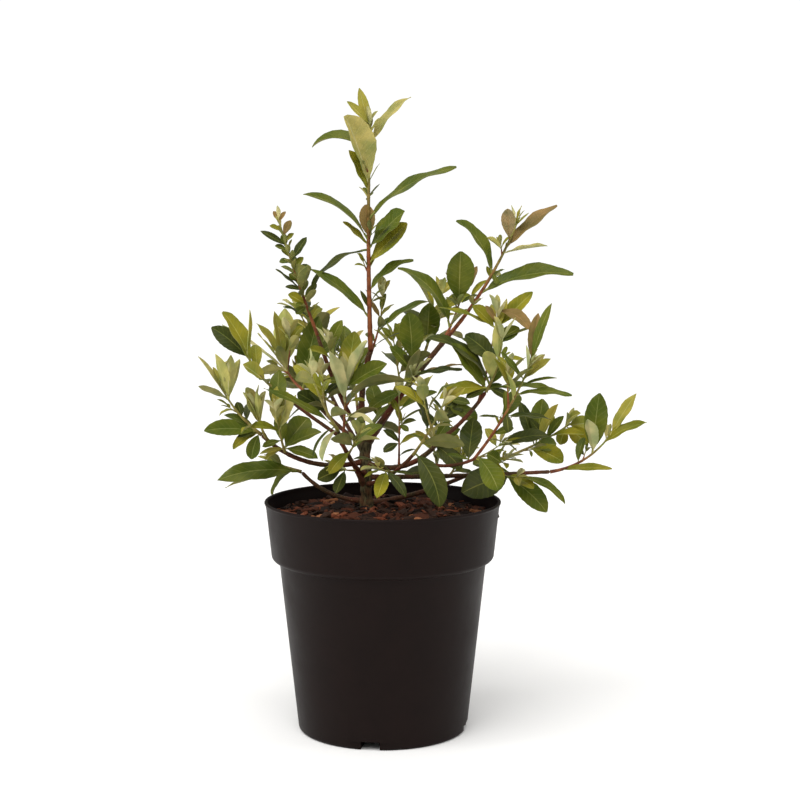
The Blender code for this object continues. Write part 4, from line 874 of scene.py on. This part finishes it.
# The finer growth that only the looks have: tufts at the tips, and spurs along the stem
TIP_LEAVES, TIP_LEAF, TIP_SPREAD = 6, (9.0, 20.0), (0.85, 1.2)
TIP_START, TIP_SPAN, TIP_YOUTH = 0.90, 0.10, 1.1
TUFT_LIFT, TUFT_CLOSING, TUFT_LIFTS, TUFT_ARCH, TUFT_ROLL = 34, 24, (-5, 5), (-8, 14), (-20, 20)
TIP_TURNS = ((0, 1), (30, 0.9), (-30, 0.8))
SPUR_SPACING, SPUR, SPUR_LIFT, SPUR_UPTURN = 34.0, (7.0, 15.0), (32, 52), 14
SPUR_THICK, SPUR_ROOM, SPUR_ROOT = (1.2, 0.7), (1.6, 1.2), 0.35
SPUR_BARE, SPUR_START, SPUR_SPAN, SPUR_PULL = 0.05, 0.12, 0.72, 0.6
SPUR_LEAVES, SPUR_LEAF, SPUR_LEAF_DROP = 4, (13.0, 28.0), 0.3
SPUR_LEAF_START, SPUR_LEAF_SPAN, SPUR_YOUTH, SPUR_YOUTH_GAIN = 0.55, 0.45, 0.35, 0.5
SPUR_TURNS = ((0, 1), (40, 1), (-40, 0.9))

Leaf = namedtuple("Leaf", "base heading rise length arch roll width tone youth")


class Tree:
    """A search tree with its box, for quick tests of touching."""

    def __init__(self, points, faces):
        self.low = Vector([min(p[i] for p in points) for i in range(3)])
        self.high = Vector([max(p[i] for p in points) for i in range(3)])
        self.bvh = BVHTree.FromPolygons(points, faces)

    def touches(self, other):
        if any(self.low[i] > other.high[i] or other.low[i] > self.high[i] for i in range(3)):
            return False
        return bool(self.bvh.overlap(other.bvh))


def ring_tree(rings, tip=None):
    """The search tree of a tube through rings of points, with a flat start."""
    count = len(rings[0])
    points = [p for ring in rings for p in ring]
    faces = [tuple(range(count))]
    for k in range(len(rings) - 1):
        for i in range(count):
            j = (i + 1) % count
            faces.append((k * count + i, k * count + j, (k + 1) * count + j, (k + 1) * count + i))
    last = (len(rings) - 1) * count
    if tip is None:
        faces.append(tuple(range(last, last + count)))
    else:
        points.append(tip)
        faces += [(last + i, last + (i + 1) % count, len(points) - 1) for i in range(count)]
    return Tree(points, faces)


def limb_tree(limb, count=7):
    rings = []
    side = across(limb.path.along(limb.first))
    for centre, along, radius in limb.sections(count):
        side = (side - along * side.dot(along)).normalized()
        up = along.cross(side)
        turn = [2 * math.pi * k / 4 for k in range(4)]
        rings.append([centre + (side * math.cos(a) + up * math.sin(a)) * radius for a in turn])
    return ring_tree(rings)


def node_tree(name):
    mesh = frame["nodes"][name].data
    points = [v.co / MM for v in mesh.vertices]
    return Tree(points, [tuple(p.vertices) for p in mesh.polygons])


def blade_tree(leaf, bare):
    """Search tree of a folded lance-shaped blade, a little fatter, less a share of its stalk."""
    shares, widths = (0.58,), (1.0,)
    if leaf.length > LONG_LEAF:
        shares, widths = (0.30, 0.74), (0.80, 0.82)
    centre, last = Vector(leaf.base), 0.0
    rings = []
    for share, width in zip(shares + (1.0,), widths + (0.0,)):
        along = direction(leaf.heading, leaf.rise - leaf.arch * (share + last) / 2)
        centre = centre + along * leaf.length * (share - last)
        last = share
        here = direction(leaf.heading, leaf.rise - leaf.arch * share)
        side = direction(leaf.heading + 90, 0)
        turn = Matrix.Rotation(math.radians(leaf.roll), 3, here)
        side, up = turn @ side, turn @ here.cross(side)
        half = leaf.length * leaf.width * width / 2 + LEAF_CLEAR
        thick = max(leaf.length * LEAF_THICK, LEAF_LEAST_THICK) + LEAF_CLEAR
        lift = half * LEAF_FOLD * 2
        rings.append((centre + side * half + up * lift, centre - side * half + up * lift,
                      centre - up * thick))
    root = Vector(leaf.base) - direction(leaf.heading, leaf.rise) * ROOT_SUNK
    stalk_end = [root.lerp(p, bare) for p in rings[0]]
    return ring_tree([stalk_end] + rings[:-1], centre)


def outward(along, turn):
    """The way out of a stem at a turn: 0 is right and 90 away for an upright stem."""
    spin = Vector((0, 0, 1)).rotation_difference(along)
    return spin @ direction(turn, 0)


def spread_bearing(way, upturn):
    """What a straight-headed Path takes after its start: heading, swing, rise and upturn."""
    heading, rise = bearing(way)
    return heading, 0, rise, upturn


def leaning(along, turn, lift):
    """A way that leaves a stem at a turn, lifted from it by some degrees."""
    lift = math.radians(lift)
    return along * math.cos(lift) + outward(along, turn) * math.sin(lift)


def rule_leaf(limb, share, turn, length, rng):
    """A leaf by rule: steeper, straighter and smaller towards the stem's tip."""
    lift = LOW_LIFT + (TIP_LIFT - LOW_LIFT) * share + rng.uniform(*LIFT_SPREAD)
    way = leaning(limb.path.along(share), turn, lift)
    way.z += LIGHT_PULL * (1.0 - abs(way.z))
    heading, rise = bearing(way)
    arch = LOW_ARCH + (TIP_ARCH - LOW_ARCH) * share + rng.uniform(*ARCH_SPREAD)
    swell = SIZE_SWELL * math.sin(math.pi * min(1.0, share * SWELL_PACE))
    size = length * (END_SIZE + swell - SIZE_DROP * share)
    return Leaf(limb.path.at(share), heading, rise, size * rng.uniform(*SIZE_SPREAD), arch,
                rng.uniform(-LEAF_ROLL, LEAF_ROLL), LEAF_WIDTH, None, share)


# What a new leaf keeps clear of: whose it is, and its search trees without and with its stalk
Mark = namedtuple("Mark", "owner near whole")


class Growth:
    """One shoot as it grows: its stem, its side twigs, its spurs and its leaves."""

    def __init__(self, name, shoot):
        self.name, self.shoot, self.rng = name, shoot, random.Random(name)
        self.fine = random.Random(name + " fine")
        parent = limbs[shoot.parent]
        self.path = Path(parent.path.at(shoot.at), shoot.heading, 0, shoot.rise, shoot.upturn,
                         shoot.length)
        thick, thin = shoot.thick, shoot.thick * STEM_TAPER
        self.stem = Limb(self.path, thick, thin, parent, shoot.at)
        self.space = limb_tree(Limb(self.path, thick + CLEAR, thin + CLEAR, parent, shoot.at))
        self.twigs, self.leaves = [self.stem], []

    def is_free(self, near, whole, marks):
        """Whether a leaf touches no mark. Among its own shoot's leaves the stalk is left out."""
        return not any(near.touches(mark.near) if mark.owner is self else whole.touches(mark.whole)
                       for mark in marks)

    def try_leaf(self, leaf, turns, others, marks):
        """Keep a leaf that touches none of the others, if need be turned or shorter."""
        for turn, size in turns:
            trial = leaf._replace(heading=leaf.heading + turn, length=leaf.length * size)
            near, whole = blade_tree(trial, BARE_STALK), blade_tree(trial, SUNK_STALK)
            if self.is_free(near, whole, others):
                self.leaves.append(trial)
                marks.append(Mark(self, near, whole))
                return

    def grow_seen(self, marks):
        """The listed leaves, clear of every other shoot."""
        others = [mark for mark in marks if mark.owner is not self]
        for share, *shape in self.shoot.seen:
            base = self.path.at(max(share, self.stem.first + STEM_ROOT))
            self.try_leaf(Leaf(base, *shape, share), SEEN_TURNS, others, marks)

    def grow_by_rule(self, marks):
        """The leaves along the stem, then the side twigs with theirs."""
        shoot, rng = self.shoot, self.rng
        first = max(BARE_SHARE, self.stem.first + LEAST_BARE)
        phase = rng.uniform(0, 360)
        for k in range(shoot.leaves):
            share = first + (LAST_LEAF - first) * (k + LEAF_PLACE) / shoot.leaves
            leaf = rule_leaf(self.stem, share, phase + LEAF_TURN * k, shoot.longest, rng)
            self.try_leaf(leaf, TURNS, marks, marks)
        for k in range(shoot.twigs):
            share = TWIG_START + TWIG_SPAN * (k + 0.5) / shoot.twigs
            twig = self.side_twig(share, phase + 180 + LEAF_TURN * 2 * k)
            space = limb_tree(Limb(twig.path, *TWIG_ROOM), 4)
            if not self.is_free(space, space, marks):
                continue
            self.twigs.append(twig)
            marks.append(Mark(self, space, space))
            for i in range(TWIG_LEAVES):
                place = TWIG_LEAF_START + TWIG_LEAF_SPAN * i / (TWIG_LEAVES - 1)
                turn = phase + LEAF_TURN * (i + 2 * k)
                leaf = rule_leaf(twig, place, turn, shoot.longest * TWIG_LEAF_SIZE, rng)
                self.try_leaf(leaf, TURNS, marks, marks)

    def side_twig(self, share, turn):
        along = self.path.along(share)
        way = along + outward(along, turn) * TWIG_LEAN
        way.z += LIGHT_PULL
        path = Path(self.path.at(share), *spread_bearing(way, TWIG_UPTURN),
                    self.rng.uniform(*SIDE_TWIG))
        return Limb(path, *TWIG_THICK, self.stem)

    def grow_tips(self, marks):
        """A tuft of small upright leaves at the end of the stem and of each side twig."""
        fine = self.fine
        for twig in self.twigs:
            phase = fine.uniform(0, 360)
            for k in range(TIP_LEAVES):
                share = TIP_START + TIP_SPAN * (k + 1) / TIP_LEAVES
                lift = TUFT_LIFT - TUFT_CLOSING * k / TIP_LEAVES + fine.uniform(*TUFT_LIFTS)
                way = leaning(twig.path.along(share), phase + LEAF_TURN * k, lift)
                length = TIP_LEAF[1] + (TIP_LEAF[0] - TIP_LEAF[1]) * k / TIP_LEAVES
                leaf = Leaf(twig.path.at(share), *bearing(way), length * fine.uniform(*TIP_SPREAD),
                            fine.uniform(*TUFT_ARCH), fine.uniform(*TUFT_ROLL), LEAF_WIDTH,
                            None, TIP_YOUTH)
                self.try_leaf(leaf, TIP_TURNS, marks, marks)

    def grow_spurs(self, marks):
        """Short spurs with small leaves in the axils, along all but the stem's ends."""
        fine = self.fine
        count = int(self.shoot.length / SPUR_SPACING)
        phase = fine.uniform(0, 360)
        first = max(self.stem.first + SPUR_BARE, SPUR_START)
        for k in range(count):
            share = first + SPUR_SPAN * (k + 0.5) / count
            lift = fine.uniform(*SPUR_LIFT)
            way = leaning(self.path.along(share), phase + LEAF_TURN * k, lift)
            way.z += LIGHT_PULL * SPUR_PULL
            turns = spread_bearing(way, SPUR_UPTURN)
            path = Path(self.path.at(share), *turns, fine.uniform(*SPUR))
            outer = Path(path.at(SPUR_ROOT), *turns, path.length * (1 - SPUR_ROOT))
            space = limb_tree(Limb(outer, *SPUR_ROOM), 3)
            if not self.is_free(space, space, marks):
                continue
            spur = Limb(path, *SPUR_THICK, self.stem)
            self.twigs.append(spur)
            for i in range(SPUR_LEAVES):
                place = SPUR_LEAF_START + SPUR_LEAF_SPAN * i / (SPUR_LEAVES - 1)
                length = fine.uniform(*SPUR_LEAF) * (1.0 - SPUR_LEAF_DROP * share)
                leaf = rule_leaf(spur, place, phase + LEAF_TURN * (i + k), length, fine)
                leaf = leaf._replace(youth=SPUR_YOUTH + SPUR_YOUTH_GAIN * share)
                self.try_leaf(leaf, SPUR_TURNS, marks, marks)


solid = [node_tree("pot"), node_tree("soil")]
solid += [limb_tree(Limb(l.path, l.thick + CLEAR, l.thin + CLEAR)) for l in limbs.values()]
settled = [Mark(None, tree, tree) for tree in solid]
growths = [Growth(name, shoot) for name, shoot in SHOOTS.items()]
for step in (Growth.grow_seen, Growth.grow_by_rule, Growth.grow_tips, Growth.grow_spurs):
    for growth in growths:
        stems = [Mark(g, g.space, g.space) for g in growths if g is not growth]
        marks = settled + stems
        step(growth, marks)
        settled += marks[len(settled) + len(stems):]

# Young willow bark: smooth and slightly glossy, wine red to red-brown on the sunny side of strong
# shoots and yellow-green on the rest and towards every tip. Each is a wash of two near tones.
TIP_RINDS = ("#6a6a2c", "#8f8a48")
STEM_SIDES, STEM_RELIEF, STEM_BLEND = 10, 0.06, 9.0
TWIG_SIDES, TWIG_BLEND = 6, 3.0
young_barks = {}
for name, rinds in {"red_shoot_bark": ("#582c18", "#8a4e2a"),
                    "green_shoot_bark": ("#6a5a2a", "#8f8446")}.items():
    rind, shader, place = new_material(name, 0.45, specular=0.2)
    wash = add_node(rind, "TexNoise", {"Vector": place, "Scale": 160.0, "Detail": 3.0})
    youth = add_node(rind, "Attribute", {}, out="Fac", attribute_name="youth")
    tints = [overlay(rind, srgb(dull), srgb(bright), wash, 0.36, 0.64)
             for dull, bright in (rinds, TIP_RINDS)]
    feed(shader, "Base Color", overlay(rind, *tints, youth, 0.42, 0.82))
    young_barks[name] = rind

RED_SHOOTS = ("leader", "leader_twin", "right_crown", "right_upright", "right_inner",
              "mid_right_high", "inner_upright", "outer_right", "spire", "front_upright",
              "upper_left", "far_right")
for name, rind in young_barks.items():
    twig_mesh = bmesh.new()
    twig_mesh.verts.layers.float.new("youth")
    red = name == "red_shoot_bark"
    for k, growth in enumerate(growths):
        if (growth.name in RED_SHOOTS) != red:
            continue
        grow_tube(twig_mesh, growth.stem, STEM_SIDES, STEM_RELIEF, 40.0 + k, STEM_BLEND)
        for twig in growth.twigs[1:]:
            grow_tube(twig_mesh, twig, TWIG_SIDES, 0.0, 0.0, TWIG_BLEND)
    bmesh.ops.recalc_face_normals(twig_mesh, faces=twig_mesh.faces)
    twigs = add_piece("twigs_" + ("red" if red else "green"), twig_mesh, [rind])
    twigs.data.shade_smooth()
    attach(twigs, "root")
    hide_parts(*[g.name for g in growths if (g.name in RED_SHOOTS) == red])


# The leaves: each a lance-shaped blade on a short stalk, glossy above and greyish beneath, with
# a pale midrib. A flat grid thickened to a shell is bent into every leaf; young ones are folded.
BLADE_ROWS, BLADE_COLUMNS = 16, (-1.0, -0.64, -0.30, -0.04, 0.04, 0.30, 0.64, 1.0)
SMALL_BLADE_ROWS, SMALL_BLADE_COLUMNS = 8, (-1.0, -0.5, -0.07, 0.07, 0.5, 1.0)
SMALL_LEAF = 25.0
BLADE_THICK, SMALL_THICK = 0.28, 0.14
RIB_HALF, RIB_BULGE, RIB_LEAF, RIB_TAPER, RIB_ABOVE = 0.1, 0.3, 50, 0.7, 0.4
STALK_SHARE, STALK_SIDES, STALK_LAP = 0.08, 6, 0.02
STALK_THICK, STALK_GROWTH, STALK_TAPER = 0.30, 0.011, 0.25
# A blade's base and tip shapes, as a lance for a narrow leaf and blunt for a broad one
LANCE, BLUNT = (0.84, 0.80), (0.92, 0.62)
LANCE_WIDTH, BLUNT_WIDTH = 0.28, 0.56
BLADE_ENDS = (0.012, 0.993)
TOOTH = 0.02
# What makes each leaf its own: bends in degrees, fold, width and waves of the edge. A seen
# leaf keeps to its place, so it bends less.
CURL, SICKLE, TWIST = (-10, 26), (-16, 16), (-22, 22)
FOLD_SPREAD, WIDTH_SPREAD, SEEN_LOOSE = (0.6, 1.4), (-0.1, 0.12), 0.35
WAVE, WAVES, WAVE_SHIFT = 0.022, 2.2, 2.0
CUP = 0.16
LEAF_STEPS = 40
UPPER, UNDER, RIB = 0, 1, 2
# Each tone's least youth, colours above, beneath and of the rib, roughness, and fold in degrees
Tone = namedtuple("Tone", "youth above beneath rib roughness fold")
TONES = {
    # The old tone is darker partly because older willow leaves are, and partly as painted shade
    # for the leaves low on each stem, deep in the crown.
    "old": Tone(-9.0, "#3a4116", "#66683a", "#666a2f", 0.36, 16),
    "full": Tone(0.22, "#555e19", "#777746", "#7d8040", 0.37, 22),
    "fresh": Tone(0.50, "#7b791e", "#8d8d52", "#989848", 0.40, 26),
    "young": Tone(0.78, "#96903a", "#a6a55c", "#aca766", 0.48, 34),
    "flush": Tone(1.02, "#a69f5c", "#b4b27c", "#b2ae7c", 0.58, 38),
    "bronze": Tone(9.0, "#7f6a3c", "#94845c", "#94744a", 0.42, 26),
}


def blade_template(rows, columns, thick):
    """A shell with each point's place across and along, its layer, its quads and their looks."""
    bm = bmesh.new()
    strips = len(columns) - 1
    bmesh.ops.create_grid(bm, x_segments=strips, y_segments=rows, size=1.0)
    bmesh.ops.solidify(bm, geom=bm.faces[:], thickness=thick)
    points, quads = mesh_arrays(bm)
    column = np.rint((points[:, 0] + 1.0) / 2 * strips).astype(int)
    across_share = np.array(columns)[column.clip(0, strips)]
    along_share = np.rint((points[:, 1] + 1.0) / 2 * rows) / rows
    layer = np.where(points[:, 2] > points[:, 2].mean(), 1.0, -1.0)
    layers = layer[quads].sum(axis=1)
    middle = np.abs(across_share[quads]).max(axis=1) < RIB_HALF
    looks = np.where(layers > 3, np.where(middle, RIB, UPPER), np.where(middle, RIB, UNDER))
    return across_share, along_share.clip(0, 1), layer, quads, looks


def stalk_template():
    """A closed prism with each point's turn and share along."""
    bm = bmesh.new()
    bmesh.ops.create_grid(bm, x_segments=STALK_SIDES, y_segments=2, size=1.0)
    for v in bm.verts:
        turn = math.pi * (v.co.x + 1.0)
        v.co = (math.cos(turn), math.sin(turn), (v.co.y + 1.0) / 2)
    bmesh.ops.remove_doubles(bm, verts=bm.verts, dist=0.001)
    points, quads = mesh_arrays(bm)
    return np.arctan2(points[:, 1], points[:, 0]), points[:, 2], quads


def headings(way, rise):
    """Unit vectors of many headings and rises in degrees, one a row."""
    h, r = np.radians(way), np.radians(rise)
    return np.stack([np.cos(r) * np.cos(h), np.cos(r) * np.sin(h), np.sin(r)], axis=1)


def leaf_frames(leaf, shares, curl, sickle, twist):
    """Midrib points, and the ways aside and up, at many shares of a leaf's length."""
    fine = np.linspace(0.0, 1.0, LEAF_STEPS + 1)
    middle = (fine[1:] + fine[:-1]) / 2
    steps = headings(leaf.heading + sickle * middle,
                     leaf.rise - leaf.arch * middle - curl * middle ** 4)
    path = np.concatenate([np.zeros((1, 3)), np.cumsum(steps, axis=0) * leaf.length / LEAF_STEPS])
    centre = np.stack([np.interp(shares, fine, path[:, i]) for i in range(3)], axis=1)
    way = leaf.heading + sickle * shares
    here = headings(way, leaf.rise - leaf.arch * shares - curl * shares ** 4)
    flat = headings(way + 90, shares * 0)
    over = np.cross(here, flat)
    roll = np.radians(leaf.roll + twist * (shares - 0.3))[:, None]
    aside = flat * np.cos(roll) + over * np.sin(roll)
    upward = over * np.cos(roll) - flat * np.sin(roll)
    return np.array(leaf.base) + centre, aside, upward


def outline(along, width):
    """Half width of a blade along it, 1 at its widest."""
    blunt = min(max((width - LANCE_WIDTH) / (BLUNT_WIDTH - LANCE_WIDTH), 0.0), 1.0)
    base, tip = (narrow + (broad - narrow) * blunt for narrow, broad in zip(LANCE, BLUNT))
    peak = base / (base + tip)
    return along ** base * (1 - along) ** tip / (peak ** base * (1 - peak) ** tip)


def make_leaf(leaf, tone, rng):
    """The stalk and blade of one leaf, each as (points, quads, looks) for joined()."""
    small = leaf.length < SMALL_LEAF
    u, v, layer, quads, looks = small_blade if small else blade
    fold = math.radians(tone.fold * rng.uniform(*FOLD_SPREAD))
    loose = SEEN_LOOSE if leaf.tone else 1.0
    curl, sickle, twist = (loose * rng.uniform(*span) for span in (CURL, SICKLE, TWIST))
    wave, phase = rng.uniform(0.0, WAVE) * leaf.length, rng.uniform(0, 2 * math.pi)
    width = 1.0 + loose * rng.uniform(*WIDTH_SPREAD)
    rows = STALK_SHARE + (1 - STALK_SHARE) * v
    centre, aside, upward = leaf_frames(leaf, rows, curl, sickle, twist)
    half = leaf.length * leaf.width / 2 * width * outline(v.clip(*BLADE_ENDS), leaf.width)
    teeth = 1 + TOOTH * np.where(np.abs(u) > 0.99, (-1.0) ** np.rint(v * BLADE_ROWS), 0.0)
    spread = np.abs(u) * half * teeth
    sideways = np.sign(u) * spread * math.cos(fold)
    height = spread * math.sin(fold) - CUP * spread * np.abs(u) * (1 - math.sin(fold))
    shift = phase + np.where(u > 0, WAVE_SHIFT, 0.0)
    height += wave * np.abs(u) * np.sin(2 * math.pi * WAVES * v + shift)
    thick = SMALL_THICK if small else BLADE_THICK
    bulge = RIB_BULGE * (leaf.length / RIB_LEAF) * (np.abs(u) < RIB_HALF) * (1 - RIB_TAPER * v)
    height += np.where(layer > 0, thick / 2 - bulge * RIB_ABOVE, -thick / 2 - bulge)
    points = centre + aside * sideways[:, None] + upward * height[:, None]
    turn, share, stalk_quads = stalk
    reach = share * (STALK_SHARE + STALK_LAP)
    centre, aside, upward = leaf_frames(leaf, reach, curl, sickle, twist)
    radius = STALK_THICK + STALK_GROWTH * leaf.length * (1 - STALK_TAPER * share)
    around = aside * np.cos(turn)[:, None] + upward * np.sin(turn)[:, None]
    stalk_points = centre + around * radius[:, None]
    chart = np.stack([(u + 1) / 2, v], axis=1)
    return ((points, quads, looks), (stalk_points, stalk_quads, np.full(len(stalk_quads), RIB)),
            chart)


blade = blade_template(BLADE_ROWS, BLADE_COLUMNS, 0.1)
small_blade = blade_template(SMALL_BLADE_ROWS, SMALL_BLADE_COLUMNS, 0.1)
stalk = stalk_template()

# Willow leaf: a waxy cuticle over soft green, mottled over a centimetre or so, with side veins
# 4 to 6 mm apart that show as faint furrows. The youngest leaves are silky and paler.
VEINS, VEIN_SLANT = 9.0, 3.2
DARK_MOTTLE, LIGHT_MOTTLE = (0.68, 0.78, 0.72), (1.32, 1.20, 1.22)
UNDERSIDE_ROUGHNESS = 0.62
YOUTH_SPREAD = 0.14
leaf_materials = {}
for name, tone in TONES.items():
    leaf_materials[name] = []
    for part, code in (("above", tone.above), ("beneath", tone.beneath), ("rib", tone.rib)):
        rough = tone.roughness if part == "above" else UNDERSIDE_ROUGHNESS
        skin, shader, place = new_material(f"willow_leaf_{name}_{part}", rough, 1.42, 0.16)
        leaf_materials[name].append(skin)
        mottle = add_node(skin, "TexNoise", {"Vector": place, "Scale": 60.0, "Detail": 3.0})
        colour = overlay(skin, tinted(code, *DARK_MOTTLE), tinted(code, *LIGHT_MOTTLE), mottle,
                         0.35, 0.65)
        if part != "rib":
            split = add_node(skin, "SeparateXYZ", {"Vector": place.node.outputs["UV"]})
            half = add_node(skin, "Math", {0: split, 1: 0.5}, operation="SUBTRACT")
            out = add_node(skin, "Math", {0: half}, operation="ABSOLUTE")
            slant = add_node(skin, "Math", {0: out, 1: -VEIN_SLANT, 2: 0.0},
                             operation="MULTIPLY_ADD")
            line = add_node(skin, "Math", {0: split.node.outputs[1], 1: VEINS, 2: slant},
                            operation="MULTIPLY_ADD")
            saw = add_node(skin, "Math", {0: line, 1: 0.5}, operation="PINGPONG")
            vein = add_node(skin, "MapRange", {"Value": saw, "From Min": 0.0, "From Max": 0.16})
            feed(shader, "Normal", add_node(skin, "Bump", {
                "Height": vein, "Distance": 0.22 * MM, "Strength": 0.5}))
            colour = overlay(skin, srgb(tone.rib), colour, saw, 0.02, 0.12, least=0.80)
        feed(shader, "Base Color", colour)

leaf_parts = {name: [] for name in TONES}
leaf_maps = {name: [] for name in TONES}
leaf_nodes = {name: set() for name in TONES}
for growth in growths:
    for k, leaf in enumerate(growth.leaves):
        rng = random.Random(f"{growth.name} leaf {k}")
        youth = leaf.youth + rng.gauss(0, YOUTH_SPREAD)
        # Leaves low on a stem take the old tone, whose darker colours are partly painted shade.
        name = leaf.tone or [n for n, tone in TONES.items() if youth >= tone.youth][-1]
        *parts, chart = make_leaf(leaf, TONES[name], rng)
        leaf_parts[name] += parts
        leaf_maps[name] += [chart[parts[0][1]], np.zeros((*parts[1][1].shape, 2))]
        leaf_nodes[name].add(growth.name)

for name, parts in leaf_parts.items():
    leaves = joined("leaves_" + name, parts, leaf_materials[name])
    chart = leaves.data.uv_layers.new(name="blade")
    corners = np.concatenate([c.reshape(-1, 2) for c in leaf_maps[name]])
    chart.data.foreach_set("uv", corners.astype(np.float32).ravel())
    leaves.data.shade_smooth()
    leaves.data.set_sharp_from_angle(angle=math.radians(60))
    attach(leaves, "root")
    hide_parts(*sorted(leaf_nodes[name]))
